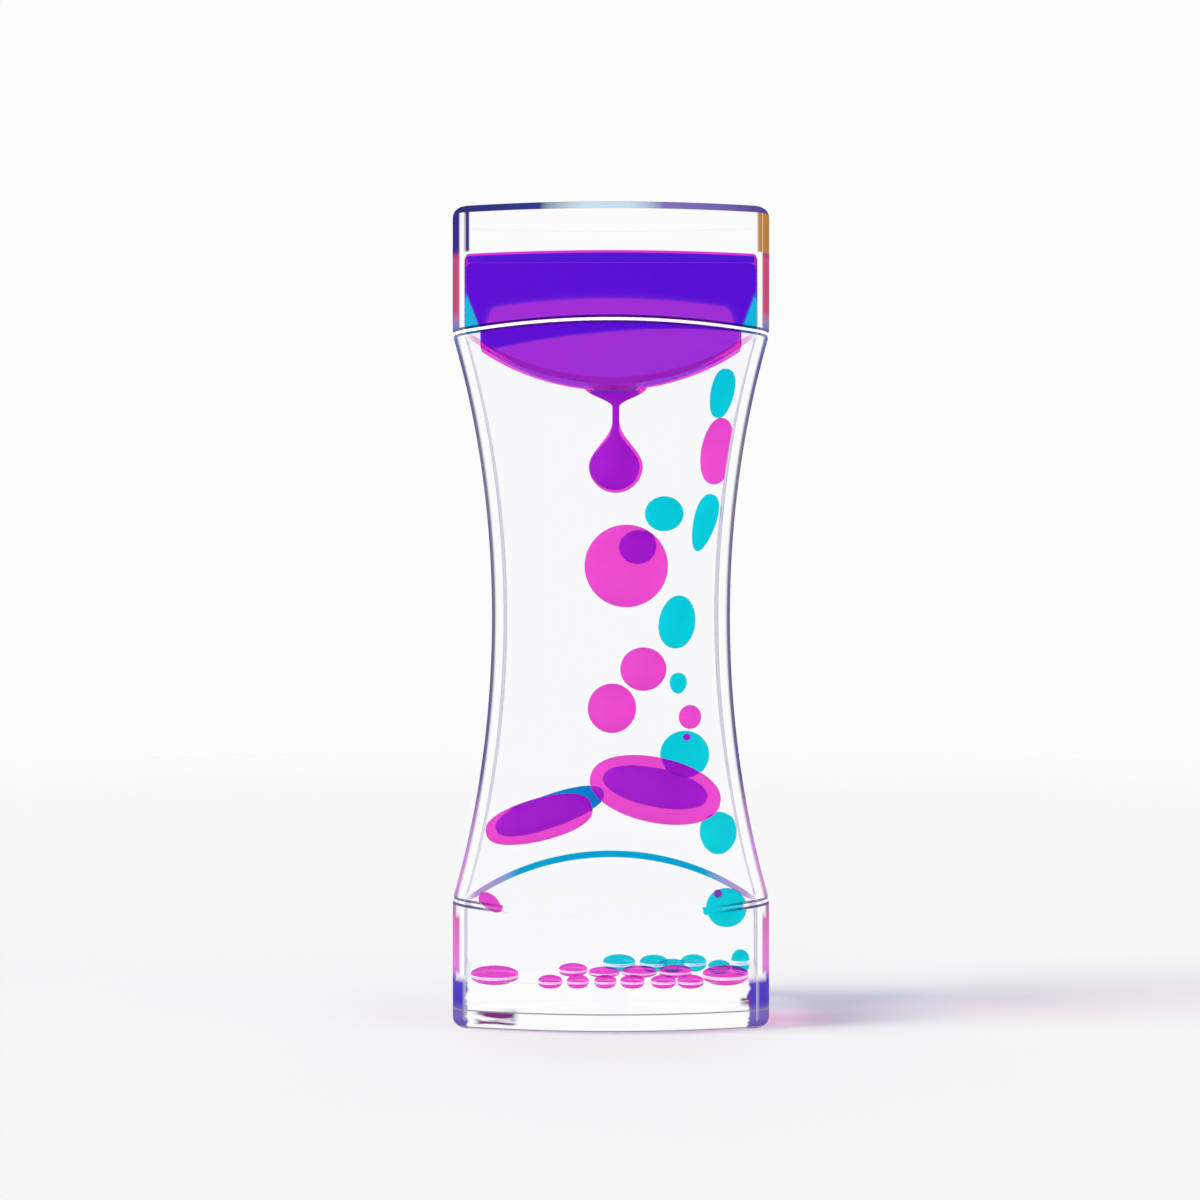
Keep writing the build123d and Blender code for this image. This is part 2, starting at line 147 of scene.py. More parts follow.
def trough_z(x, grow):
    """Height of the trough of the upper tray over a place across, grown downwards."""
    return TROUGH_CENTRE - sqrt((TROUGH_RADIUS + grow) ** 2 - x**2)


print("waist radius", round(SIDE_RADIUS, 1), "crown radius", round(CROWN_RADIUS, 1))

# %% [markdown]
# ## Rings
# One ring runs round the body: along the crowned front, round a corner, across a side, round the
# next corner, and then the same again turned half way round. Because each point has a partner
# straight behind it, a ring can be closed by a strip of quads that follows an arched or troughed
# surface, which a single many-sided face could not do.

# %% Points of a ring
FACE_STEPS = 44
CORNER_STEPS = 10
HALF_RING = FACE_STEPS + 2 * CORNER_STEPS + 1
RING = 2 * HALF_RING


def outline_point(index, z, inset):
    """Point of the ring at a height, drawn in by the inset."""
    turn = 1 if index % RING < HALF_RING else -1
    step = index % HALF_RING
    corner = CORNER_RADIUS - inset
    crown = CROWN_RADIUS - inset
    corner_x = half_width(z, inset) - corner
    corner_y = CROWN_CENTRE - sqrt((crown - corner) ** 2 - corner_x**2)
    edge = asin(corner_x / (crown - corner))
    if step <= FACE_STEPS:
        angle = edge * (2 * step / FACE_STEPS - 1)
        x, y = crown * sin(angle), CROWN_CENTRE - crown * cos(angle)
    elif step <= FACE_STEPS + CORNER_STEPS:
        share = (step - FACE_STEPS) / CORNER_STEPS
        angle = (edge - pi / 2) * (1 - share)
        x, y = corner_x + corner * cos(angle), corner_y + corner * sin(angle)
    else:
        share = (step - FACE_STEPS - CORNER_STEPS - 1) / CORNER_STEPS
        angle = (pi / 2 - edge) * share
        x, y = corner_x + corner * cos(angle), -corner_y + corner * sin(angle)
    return turn * x, turn * y


def ring(inset, height, room=WHOLE_DEPTH):
    """Ring of points whose height follows a rule, kept between two depths."""
    points = []
    for index in range(RING):
        z = height(outline_point(index, JOINT_Z, inset)[0])
        x, y = outline_point(index, z, inset)
        points.append((x, min(max(y, room[0]), room[1]), height(x)))
    return points


print("points in a ring:", RING)

# %% [markdown]
# ## Rules for rings
# The walls of the timer end in flat faces, arched joints and troughs. Heights could be typed for every
# point. A rule gives the height at any place across instead, and rules can be blended or turned over,
# so the same ones serve the upper and the lower end.

# %% Rules for rings
def level(z):
    """Rule for a ring at one height."""
    return lambda x: z


def arched(lift):
    """Rule for a ring along the upper joint."""
    return lambda x: arch_z(x, lift)


def flipped(rule):
    """The same rule with the timer turned over."""
    return lambda x: HEIGHT - rule(x)


def between(low, high, share):
    """Rule for a ring at a share of the way between two others."""
    return lambda x: low(x) + (high(x) - low(x)) * share


def wall_rings(inset, low, high, steps, room=WHOLE_DEPTH):
    """Rings up a wall from one rule to another."""
    return [ring(inset, between(low, high, s / steps), room) for s in range(steps + 1)]


def quarter(steps):
    """Angles of a quarter turn in even steps."""
    return [pi / 2 * step / steps for step in range(steps + 1)]


def turned_over(rings):
    """The same rings turned over about the middle height."""
    return [[(x, y, HEIGHT - z) for x, y, z in points] for points in rings]


print("the upper joint rises to", round(arched(0)(0), 1), "mm")

# %% [markdown]
# ## From points to pieces
# Every piece is made by the same helper, from points in millimetres. Doubled points are welded and the
# normals are turned outwards, since glass that faces the wrong way bends light the wrong way. Another
# lets a finished piece ride on its body and stand for its solid.

# %% Helpers for meshes
SHARP_DEGREES = 28
WELD = 0.004
COLLAPSE = 0.002


def finish_mesh(name, points, faces, marks, finishes):
    """New object from points in millimetres, with one finish for each mark."""
    mesh = bpy.data.meshes.new(name)
    mesh.from_pydata([Vector(p) * MM for p in points], [], faces)
    mesh.polygons.foreach_set("material_index", marks)
    mesh.polygons.foreach_set("use_smooth", [True] * len(faces))
    work = bmesh.new()
    work.from_mesh(mesh)
    bmesh.ops.remove_doubles(work, verts=work.verts, dist=WELD * MM)
    bmesh.ops.dissolve_degenerate(work, edges=work.edges, dist=COLLAPSE * MM)
    bmesh.ops.recalc_face_normals(work, faces=work.faces)
    work.to_mesh(mesh)
    work.free()
    mesh.set_sharp_from_angle(angle=radians(SHARP_DEGREES))
    for finish in finishes:
        mesh.materials.append(finish)
    piece = bpy.data.objects.new(name, mesh)
    bpy.context.collection.objects.link(piece)
    return piece


def place(piece, body, slot, *nodes):
    """Let a piece ride on its body and stand for its nodes."""
    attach(piece, body)
    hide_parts(*nodes)
    print(piece.name, len(piece.data.polygons), "faces")


print("points closer than", WELD, "mm are welded")

# %% [markdown]
# ## Lofts
# A loft joins rings into quads and closes both ends, or joins the last ring to the first for a tube.
# Bridging the rings by hand would do the same once; the helper does it for every wall. Each band of
# quads has a finish of its own, because light meets the outside of the acrylic, the wetted inside and
# the glued joints in different ways.

# %% Lofts
OUTSIDE, WETTED, GLUED, FLOOR, SEAM, LIP, SIDE, CORNER, FLAT = range(9)
UPRIGHT = (CORNER, SIDE)


def partner(index):
    """Point of a ring straight behind or in front of another."""
    return (HALF_RING + FACE_STEPS - index) % RING


def lofted(name, rings, bands, finishes, closed=False, upright=None):
    """Piece through rings; each band gives the finish of the quads after its ring.

    The outer corners and sides may have finishes of their own, given as a pair.
    """
    points = [p for one in rings for p in one]
    faces, marks = [], []
    count = len(rings)
    for row in range(count if closed else count - 1):
        below, above = row * RING, ((row + 1) % count) * RING
        band = bands[row] if closed else bands[row + 1]
        for index in range(RING):
            after = (index + 1) % RING
            faces.append((below + index, below + after, above + after, above + index))
            step = index % HALF_RING
            if upright and band == OUTSIDE and step >= FACE_STEPS:
                marks.append(upright[step == FACE_STEPS + CORNER_STEPS])
            else:
                marks.append(band)
    if not closed:
        for row, mark in ((0, bands[0]), (count - 1, bands[-1])):
            start = row * RING
            for index in range(-CORNER_STEPS, FACE_STEPS + CORNER_STEPS):
                corners = [index % RING, (index + 1) % RING, partner(index + 1), partner(index)]
                faces.append(tuple(start + c for c in corners))
                marks.append(mark)
    return finish_mesh(name, points, faces, marks, finishes)


print("a band of a loft has", RING, "quads")

# %% [markdown]
# ## Node helpers
# Nodes can be added by hand in the shader editor. In a script the same few steps come back all the
# time, so a handful of helpers add a node, feed a socket, do one sum or blend two colours. They serve
# the groups, the finishes and the world alike.

# %% Node helpers
MIX_FACTOR, MIX_FIRST, MIX_SECOND, MIX_RESULT = 0, 6, 7, 2
COLOUR, NUMBER = "NodeSocketColor", "NodeSocketFloat"


def feed(socket, value):
    """Link a socket to another one, or set its plain value."""
    if isinstance(value, bpy.types.NodeSocket):
        socket.id_data.links.new(value, socket)
    elif isinstance(value, tuple) and len(value) == 3 and socket.type == "RGBA":
        socket.default_value = (*value, 1)
    else:
        socket.default_value = value


def add(tree, kind, values=None, **settings):
    """New shader node with its settings made and its inputs fed."""
    node = tree.nodes.new("ShaderNode" + kind)
    for label, setting in settings.items():
        setattr(node, label, setting)
    for label, value in (values or {}).items():
        feed(node.inputs[label], value)
    return node


def maths(kind, *values):
    """One sum with sockets and plain values; one of them at least is a socket."""
    tree = next(v.id_data for v in values if isinstance(v, bpy.types.NodeSocket))
    return add(tree, "Math", dict(enumerate(values)), operation=kind).outputs[0]


plus = partial(maths, "ADD")
minus = partial(maths, "SUBTRACT")
times = partial(maths, "MULTIPLY")
divided = partial(maths, "DIVIDE")
largest = partial(maths, "MAXIMUM")
unsigned = partial(maths, "ABSOLUTE")
opposite = partial(maths, "SUBTRACT", 1.0)


def blend(factor, first, second):
    """Colour between two others."""
    values = {MIX_FACTOR: factor, MIX_FIRST: first, MIX_SECOND: second}
    return add(factor.id_data, "Mix", values, data_type="RGBA").outputs[MIX_RESULT]


def choose(factor, first, second):
    """One of two shaders."""
    return add(factor.id_data, "MixShader", {0: factor, 1: first, 2: second}).outputs[0]


print("a sum can be", ", ".join(("plus", "minus", "times", "divided", "largest", "unsigned")))

# %% [markdown]
# ## Masks, places and groups
# A mask says where on a piece something is seen. Masks could be drawn on an unfolded skin, but here
# they are worked out from the place in millimetres. A group holds an effect that more than one finish
# uses, and each finish gives it values of its own.

# %% Masks, places and groups
def soft_step(value, low, high):
    """Mask that rises smoothly from nought to one between two values."""
    values = {"Value": value, "From Min": low, "From Max": high}
    return add(value.id_data, "MapRange", values, interpolation_type="SMOOTHSTEP").outputs["Result"]


def inside_band(value, low, high, soft):
    """Mask that is one between two values."""
    return minus(soft_step(value, low - soft, low + soft), soft_step(value, high - soft, high + soft))


def place_mm(tree):
    """Place on a piece in millimetres: across, back and up."""
    place = add(tree, "TexCoord").outputs["Object"]
    scaled = add(tree, "VectorMath", {0: place, "Scale": 1 / MM}, operation="SCALE")
    return add(tree, "SeparateXYZ", {0: scaled.outputs[0]}).outputs


def noise(tree, scale, detail, stretch=(1.0, 1.0, 1.0)):
    """Soft noise over a piece, which may be drawn out into streaks."""
    place = add(tree, "TexCoord").outputs["Object"]
    stretched = add(tree, "VectorMath", {0: place, 1: stretch}, operation="MULTIPLY")
    values = {"Vector": stretched.outputs[0], "Scale": scale, "Detail": detail}
    return add(tree, "TexNoise", values).outputs[0]


def tint_ramp(value, tints, length):
    """Colour ramp over a length, from pairs of a place and a colour."""
    ramp = add(value.id_data, "ValToRGB", {"Fac": value})
    stops = ramp.color_ramp.elements
    for at, tint in tints[1:-1]:
        stops.new(at / length)
    for stop, (at, tint) in zip(stops, tints):
        stop.position = at / length
        stop.color = (*tint, 1)
    return ramp.outputs["Color"]


def new_group(name, inputs, outputs):
    """Empty node group with named sockets; each is a name, a kind and, for inputs, a value."""
    tree = bpy.data.node_groups.new(name, "ShaderNodeTree")
    for label, kind, value in inputs:
        socket = tree.interface.new_socket(name=label, in_out="INPUT", socket_type=kind)
        socket.default_value = (*value, 1) if kind == COLOUR else value
    for label, kind in outputs:
        tree.interface.new_socket(name=label, in_out="OUTPUT", socket_type=kind)
    return tree, tree.nodes.new("NodeGroupInput").outputs, tree.nodes.new("NodeGroupOutput").inputs


def use_group(tree, group, **values):
    """Place a group in a material, with its own values."""
    named = {label.replace("_", " ").title(): value for label, value in values.items()}
    return add(tree, "Group", named, node_tree=group).outputs


print("groups can have sockets for", COLOUR, "and", NUMBER)

# %% [markdown]
# ## Moulded ripple
# No moulded wall is perfectly flat: it carries a slow ripple from the mould and a faint haze from
# wiping. Both could be painted as pictures, but noise at two sizes does it at any distance. The group
# gives a height for a bump and a roughness, and each finish that needs them uses its own values.

# %% Group for the moulded ripple
WAVE_DETAIL = 1.0
PATCH_DETAIL = 4.0
PATCHES_PER_WAVE = 2.5
HAZE_FROM = 0.35
HAZE_TO = 0.75


def ripple_group():
    """Slow waves for a bump, and a haze that varies in patches."""
    inputs = [("Wave Size", NUMBER, 60.0), ("Least Haze", NUMBER, 0.0), ("Most Haze", NUMBER, 0.02)]
    tree, given, put = new_group("moulded_ripple", inputs, [("Height", NUMBER), ("Haze", NUMBER)])
    patches = noise(tree, times(given["Wave Size"], PATCHES_PER_WAVE), PATCH_DETAIL)
    values = {"Value": patches, "From Min": HAZE_FROM, "From Max": HAZE_TO}
    values.update({"To Min": given["Least Haze"], "To Max": given["Most Haze"]})
    feed(put["Height"], noise(tree, given["Wave Size"], WAVE_DETAIL))
    feed(put["Haze"], add(tree, "MapRange", values).outputs["Result"])
    return tree


moulded_ripple = ripple_group()
print("group", moulded_ripple.name)

# %% [markdown]
# ## Light carried by the wall
# Light that enters a clear wall runs along inside it and picks up the colours of the liquids: violet
# black in the base, crimson beside the pool, dark at the waist, pale blue in the middle of the rim.
# Bending real dispersed light that far takes a great many rays, so a ramp paints these colours of light
# onto the wall.

# %% Painted light of the wall
PAINTED_WALL_LIGHT = (
    (0.0, (0.006, 0.002, 0.14)), (3.0, (0.05, 0.02, 0.26)), (5.0, (0.006, 0.002, 0.28)),
    (9.0, (0.009, 0.003, 0.34)), (11.5, (0.62, 0.05, 0.52)), (20.0, (0.52, 0.03, 0.22)),
    (23.0, (0.02, 0.05, 0.24)), (26.0, (0.45, 0.10, 0.45)), (34.0, (0.30, 0.08, 0.42)),
    (46.0, (0.02, 0.012, 0.09)), (104.0, (0.04, 0.035, 0.08)), (122.0, (0.02, 0.012, 0.12)),
    (128.0, (0.02, 0.06, 0.30)), (130.5, (0.34, 0.006, 0.04)), (140.3, (0.34, 0.006, 0.04)),
    (141.3, (0.002, 0.0008, 0.055)), (150.0, (0.002, 0.0008, 0.06)),
)
PAINTED_RIM_LIGHT = (
    (0.0, (0.001, 0.001, 0.03)), (0.28, (0.001, 0.002, 0.07)), (0.42, (0.40, 0.62, 0.82)),
    (0.56, (0.34, 0.56, 0.80)), (0.66, (0.06, 0.03, 0.28)), (1.0, (0.006, 0.002, 0.08)),
)
PAINTED_AMBER_LIGHT = (0.26, 0.05, 0.002)
PAINTED_DARK_PATCH = (0.05, 0.0006, 0.045)
PAINTED_DARK_LINE = (0.08, 0.07, 0.11)
print("tints over the height:", len(PAINTED_WALL_LIGHT), "and across the rim:", len(PAINTED_RIM_LIGHT))

# %% [markdown]
# ## Where the light of the wall is painted
# A mask adds painted light that shows even head on: a highlight on the rim, reflections in columns at
# the upright corners, and dark streaky patches and lines low in the base. Its places are steps (start
# and full) and bands (two edges and their softness) in millimetres. Paint on the mesh would blur; masks
# worked out from the place stay sharp.

# %% Group for the light in the wall
AMBER_RIGHT = (10.0, 14.0)
ABOVE_POOL = (CEILING_Z - 0.6, CEILING_Z)
BEHIND_FRONT = (-6.0, -2.0)
TO_CORNER = (8.0, 9.6)
ABOVE_BASE = (8.5, 10.5)
BASE_COLUMN = (25.1, 25.7)
BASE_SHIFT = 0.65
RIM_BAND = (HEIGHT - 0.8 * RIM_RADIUS, HEIGHT - 0.06, 0.05)
PATCH_TILT = 0.05
PATCH_BAND = (2.4, 5.2, 0.3)
LEFT_PATCH = (-24.6, -17.2, 0.8)
RIGHT_PATCH = (23.4, 25.4, 0.4)
PATCH_GRAIN = (0.40, 0.56)
UPPER_LINE = (3.55, 3.80, 0.08)
LOWER_LINE = (0.35, 0.70, 0.10)
IN_END = (125.0, 127.0)
SUMP_BAND = (10.0, 21.0, 1.0)
STRIPE_OUT = (27.2, 27.7)
INNER_SHIFT = 0.45
INNER_BAND = (26.1, 27.1, 0.2)
STREAK_STRETCH = (90.0, 60.0, 700.0)
STREAK_DETAIL = 2.0
WOBBLE = 2.0


def wall_light_group():
    """Painted light of the wall's edge at each height, and a mask for where it is painted head on: rim,
    corners and base.
    """
    outputs = [("Painted Edge Light", COLOUR), ("Painted Light Mask", NUMBER)]
    tree, _, put = new_group("wall_light", [], outputs)
    across, back, up = place_mm(tree)
    streaks = noise(tree, 1.0, STREAK_DETAIL, STREAK_STRETCH)
    wobble = times(minus(streaks, 0.5), WOBBLE)
    front = opposite(soft_step(back, *BEHIND_FRONT))
    above_pool = soft_step(up, *ABOVE_POOL)
    rim = times(inside_band(up, *RIM_BAND), front)
    tilted = minus(up, times(across, PATCH_TILT))
    low = inside_band(plus(tilted, wobble), *PATCH_BAND)
    left_patch = inside_band(minus(across, wobble), *LEFT_PATCH)
    patch = times(largest(left_patch, inside_band(across, *RIGHT_PATCH)), low)
    patch = times(patch, times(front, soft_step(streaks, *PATCH_GRAIN)))
    lines = times(plus(inside_band(up, *UPPER_LINE), inside_band(up, *LOWER_LINE)), front)
    # Painted reflections of the liquids over the height, amber at the upper right, and a painted
    # highlight across the front rim.
    edge = tint_ramp(divided(up, HEIGHT), PAINTED_WALL_LIGHT, HEIGHT)
    edge = blend(times(soft_step(across, *AMBER_RIGHT), above_pool), edge, PAINTED_AMBER_LIGHT)
    edge = blend(rim, edge, tint_ramp(plus(divided(across, WIDTH), 0.5), PAINTED_RIM_LIGHT, 1.0))
    # Painted dark reflections: streaky patches and two thin lines low in the base, seen from the front.
    edge = blend(patch, edge, PAINTED_DARK_PATCH)
    edge = blend(lines, edge, PAINTED_DARK_LINE)
    # Columns of painted reflection at the upright corners, at several heights.
    base_out = plus(unsigned(plus(across, BASE_SHIFT)), wobble)
    base = times(soft_step(base_out, *BASE_COLUMN), opposite(soft_step(up, *ABOVE_BASE)))
    at_ends = largest(soft_step(up, *IN_END), inside_band(up, *SUMP_BAND))
    stripe = times(soft_step(unsigned(across), *STRIPE_OUT), at_ends)
    inner = times(inside_band(unsigned(minus(across, INNER_SHIFT)), *INNER_BAND), above_pool)
    columns = largest(largest(base, stripe), inner)
    mask = largest(rim, times(columns, soft_step(unsigned(back), *TO_CORNER)))
    feed(put["Painted Edge Light"], edge)
    feed(put["Painted Light Mask"], largest(largest(mask, patch), lines))
    return tree


wall_light = wall_light_group()
print("group", wall_light.name, "with", len(wall_light.nodes), "nodes")

# %% [markdown]
# ## Looking through a surface
# A clear surface needs a Principled shader with its index, a mask for the glancing edge, and a way out
# for shadow and scattered rays. Bent through every wall, they would leave grainy spots on the floor, so
# they meet a plain tinted surface and give a soft tinted shadow.

# %% Helpers for finishes
CLEAR_FACE = (0.995, 0.995, 1.0)
CLEAR_VEIL = (0.992, 0.992, 0.996)
GLANCE_BLEND = 0.5


def new_finish(name, index, clearness):
    """Material with a Principled shader for a see-through surface."""
    finish = bpy.data.materials.new(name)
    finish.use_nodes = True
    tree = finish.node_tree
    shader = tree.nodes["Principled BSDF"]
    feed(shader.inputs["IOR"], index)
    feed(shader.inputs["Roughness"], 0.0)
    feed(shader.inputs["Transmission Weight"], clearness)
    return finish, shader, tree


def from_inside(tree):
    """Mask that is one where a surface is seen from inside."""
    return add(tree, "NewGeometry").outputs["Backfacing"]


def glance_mask(tree, start, end):
    """Mask that rises towards the glancing edge of a surface."""
    glance = add(tree, "LayerWeight", {"Blend": GLANCE_BLEND})
    return soft_step(glance.outputs["Facing"], start, end)


def veil_rays(shader, veil_colour=CLEAR_VEIL, shadow_colour=CLEAR_VEIL, also=0.0):
    """Let shadow and scattered rays, and one more mask, see a tinted transparent surface instead."""
    tree = shader.id_data
    path = add(tree, "LightPath").outputs
    tint = blend(path["Is Shadow Ray"], veil_colour, shadow_colour)
    veil = add(tree, "BsdfTransparent", {"Color": tint})
    either = largest(largest(path["Is Shadow Ray"], path["Is Diffuse Ray"]), also)
    shown = choose(either, shader.outputs[0], veil.outputs[0])
    feed(tree.nodes["Material Output"].inputs["Surface"], shown)


print("helpers for finishes ready")

# %% [markdown]
# ## Clear acrylic
# The body is polished acrylic, so its colour comes from what it bends and mirrors. One glass could
# serve everywhere, but light meets air outside, fluid inside and glue at the joints, so each has its
# own index. Towards air it is lower than that of real acrylic: with the true one the faces mirror the
# drops a second time at a slant. The light in the wall is painted on as reflection at glancing edges.

# %% Finishes of the clear body
AIR_INDEX = 1.15
WET_INDEX = 1.02
CORNER_INDEX = 1.06
SIDE_INDEX = 1.0
FLOOR_INDEX = 1.0
GLUE_INDEX = 1.0
FACE_GLANCE = (0.50, 0.92)
CORNER_GLANCE = (0.30, 0.52)
TOP_GLANCE = (0.80, 1.0)
TURNED_GLANCE = (0.02, 0.18)
SIDE_AMOUNT = 0.25
TOP_AMOUNT = 0.15
CORNER_HEAD_ON = 0.65
# Colours painted at glancing edges: a dark violet reflection on the wetted inside, nearly white on floor
# and glue.
WET_EDGE = (0.12, 0.10, 0.26)
FLOOR_EDGE = (0.97, 0.96, 1.0)
GLUE_EDGE = (0.97, 0.97, 1.0)
WET_START = 0.74
EDGE_START = 0.90
FACE_WAVES = 45.0
FACE_HAZE = 0.012
BUMP_STRENGTH = 0.06
BUMP_DEPTH = 0.1
SHADOW_TINTS = (
    (0.0, (1.0, 0.84, 0.97)), (2.5, (1.0, 0.78, 0.95)), (5.5, (0.27, 0.18, 0.44)),
    (9.0, (0.33, 0.27, 0.53)), (15.0, (0.76, 0.74, 0.85)), (24.0, (0.92, 0.91, 0.955)),
    (36.0, (0.975, 0.97, 0.985)), (150.0, (0.985, 0.98, 0.99)),
)


def outer_finish(name, index, edges, amount=1.0, head_on=1.0):
    """Clear surface against air, with the light of the wall painted at its edges and where its mask is
    set.
    """
    finish, shader, tree = new_finish(name, index, 1.0)
    light = use_group(tree, wall_light)
    glance = times(glance_mask(tree, *edges), amount)
    turned = times(glance_mask(tree, *TURNED_GLANCE), 1.0 - head_on)
    column = times(light["Painted Light Mask"], plus(turned, head_on))
    mask = times(largest(glance, column), opposite(from_inside(tree)))
    # Painted reflection: the light of the wall goes into the base colour, clear where seen from inside.
    feed(shader.inputs["Base Color"], blend(mask, CLEAR_FACE, light["Painted Edge Light"]))
    ripple = use_group(tree, moulded_ripple, wave_size=FACE_WAVES, most_haze=FACE_HAZE)
    bump = add(tree, "Bump", {"Strength": BUMP_STRENGTH, "Distance": BUMP_DEPTH * MM})
    feed(bump.inputs["Height"], ripple["Height"])
    feed(shader.inputs["Normal"], bump.outputs["Normal"])
    feed(shader.inputs["Roughness"], ripple["Haze"])
    shadow = tint_ramp(divided(place_mm(tree)[2], HEIGHT), SHADOW_TINTS, HEIGHT)
    veil_rays(shader, CLEAR_VEIL, shadow)
    return finish


def inner_finish(name, index, painted_edge_colour, start=EDGE_START):
    """Clear surface against fluid or glue, with a colour painted at its glancing edge."""
    finish, shader, tree = new_finish(name, index, 1.0)
    mask = glance_mask(tree, start, 1.0)
    feed(shader.inputs["Base Color"], blend(mask, CLEAR_FACE, painted_edge_colour))
    veil_rays(shader)
    return finish


outer_acrylic = outer_finish("polished_acrylic", AIR_INDEX, FACE_GLANCE)
side_acrylic = outer_finish("polished_side", SIDE_INDEX, FACE_GLANCE, SIDE_AMOUNT)
wet_acrylic = inner_finish("wetted_acrylic", WET_INDEX, WET_EDGE, WET_START)
corner_acrylic = outer_finish("polished_corner", CORNER_INDEX, CORNER_GLANCE, 1.0, CORNER_HEAD_ON)
top_acrylic = outer_finish("polished_top", AIR_INDEX, TOP_GLANCE, TOP_AMOUNT)
wet_floor = inner_finish("wetted_floor", FLOOR_INDEX, FLOOR_EDGE)
glued_acrylic = inner_finish("glued_joint", GLUE_INDEX, GLUE_EDGE)
print("clear finishes ready, index towards air", AIR_INDEX)

# %% [markdown]
# ## The seam
# The edge of the tray's flange shows outside as a bright line between two thin dark lips; the dark of
# the lips is a painted reflection, seen only from outside. A white strip would look stuck on. The line
# is sawn acrylic, a little frosted, so part of the Principled shader stays diffuse. At the lower joint
# it shows only at the two ends.

# %% Finishes of the seam and its lips
UPPER_CLEARNESS = 0.2
LOWER_CLEARNESS = 0.95
SEAM_COLOUR = (0.97, 0.97, 0.99)
SEAM_HAZE = (0.15, 0.45)
FROST_WAVES = 400.0
# Painted dark reflection on the lips.
LIP_REFLECTION = (0.03, 0.02, 0.10)
JOINT_END = (17.0, 24.0)


def end_mask(tree):
    """Mask that is one towards the left and right end of a joint."""
    return soft_step(unsigned(place_mm(tree)[0]), *JOINT_END)


def frosted(name, index, clearness, colour, haze):
    """Start of a frosted finish, its haze between two values."""
    finish, shader, tree = new_finish(name, index, clearness)
    least, most = haze
    ripple = use_group(tree, moulded_ripple, wave_size=FROST_WAVES, least_haze=least, most_haze=most)
    feed(shader.inputs["Roughness"], ripple["Haze"])
    feed(shader.inputs["Base Color"], colour)
    return finish, shader, tree


def seam_finish(name, clearness, only_ends):
    """Sawn edge of the flange."""
    finish, shader, tree = frosted(name, WET_INDEX, clearness, SEAM_COLOUR, SEAM_HAZE)
    hidden = from_inside(tree)
    if only_ends:
        hidden = largest(hidden, opposite(end_mask(tree)))
    veil_rays(shader, also=hidden)
    return finish


def lip_finish(name, only_ends):
    """Thin lip beside the seam, with a painted dark reflection seen from outside."""
    finish, shader, tree = new_finish(name, GLUE_INDEX, 1.0)
    colour = blend(end_mask(tree), CLEAR_FACE, LIP_REFLECTION) if only_ends else LIP_REFLECTION
    feed(shader.inputs["Base Color"], blend(from_inside(tree), colour, CLEAR_FACE))
    veil_rays(shader)
    return finish


upper_seam = seam_finish("upper_seam", UPPER_CLEARNESS, False)
lower_seam = seam_finish("lower_seam", LOWER_CLEARNESS, True)
upper_lip = lip_finish("upper_lip", False)
lower_lip = lip_finish("lower_lip", True)
UPPER_CLEAR = [outer_acrylic, wet_acrylic, glued_acrylic, glued_acrylic, upper_seam, upper_lip]
UPPER_CLEAR += [side_acrylic, corner_acrylic, top_acrylic]
LOWER_CLEAR = [outer_acrylic, wet_acrylic, glued_acrylic, wet_floor, lower_seam, lower_lip]
LOWER_CLEAR += [side_acrylic, corner_acrylic, glued_acrylic]
print("finishes of an end:", len(UPPER_CLEAR))

# %% [markdown]
# ## Rounded edges
# The moulded ends have rounded edges: a soft rim in front, a small lip beside each joint and a round at
# the ceiling of the hollow. A bevel would break the order of the points, so each edge is a few rings
# round a quarter turn. The rear rim is nearly sharp, so that it does not bend a second line into view.

# %% Rings round an edge
ROUND_STEPS = 8
LIP_STEPS = 4
LIP_RADIUS = 0.2
SHARP_FROM = -2.0
SHARP_TO = 8.0


def rounded_rings(inset, radius, top, room=WHOLE_DEPTH):
    """Rings round the edge of a flat end, from the wall to the flat."""
    rings = []
    for angle in quarter(ROUND_STEPS):
        rule = level(top - radius * (1 - sin(angle)))
        rings.append(ring(inset + radius * (1 - cos(angle)), rule, room))
    return rings


def rim_rings():
    """Rings round the outer rim: well rounded in front, nearly sharp at the back."""
    soft = rounded_rings(0, RIM_RADIUS, HEIGHT)
    sharp = rounded_rings(0, REAR_RIM_RADIUS, HEIGHT)
    rings = []
    for soft_ring, sharp_ring in zip(soft, sharp):
        points = []
        for p, q in zip(soft_ring, sharp_ring):
            share = min(max((p[1] - SHARP_FROM) / (SHARP_TO - SHARP_FROM), 0), 1)
            points.append(tuple(a + (b - a) * share for a, b in zip(p, q)))
        rings.append(points)
    return rings


def lip_rings(lift, way):
    """Rings round the small lip beside a joint, from the joint to the wall."""
    rings = []
    for angle in quarter(LIP_STEPS)[:-1]:
        rise = lift + way * LIP_RADIUS * (1 - cos(angle))
        rings.append(ring(LIP_RADIUS * (1 - sin(angle)), arched(rise)))
    return rings


print("rings round an edge:", ROUND_STEPS + 1, "and round a lip:", LIP_STEPS)

# %% [markdown]
# ## The two ends
# Each end is a thick cap with its own short walls, glued to the tube at an arched joint. It could be
# hollowed with a boolean, but lofting it as one skin keeps the quads even: from the ceiling of the
# hollow, down the inside, across the joint, up the outside and round the rim to the flat top. The
# lower end is the same skin turned over.

# %% Upper and lower end
WALL_STEPS = 10


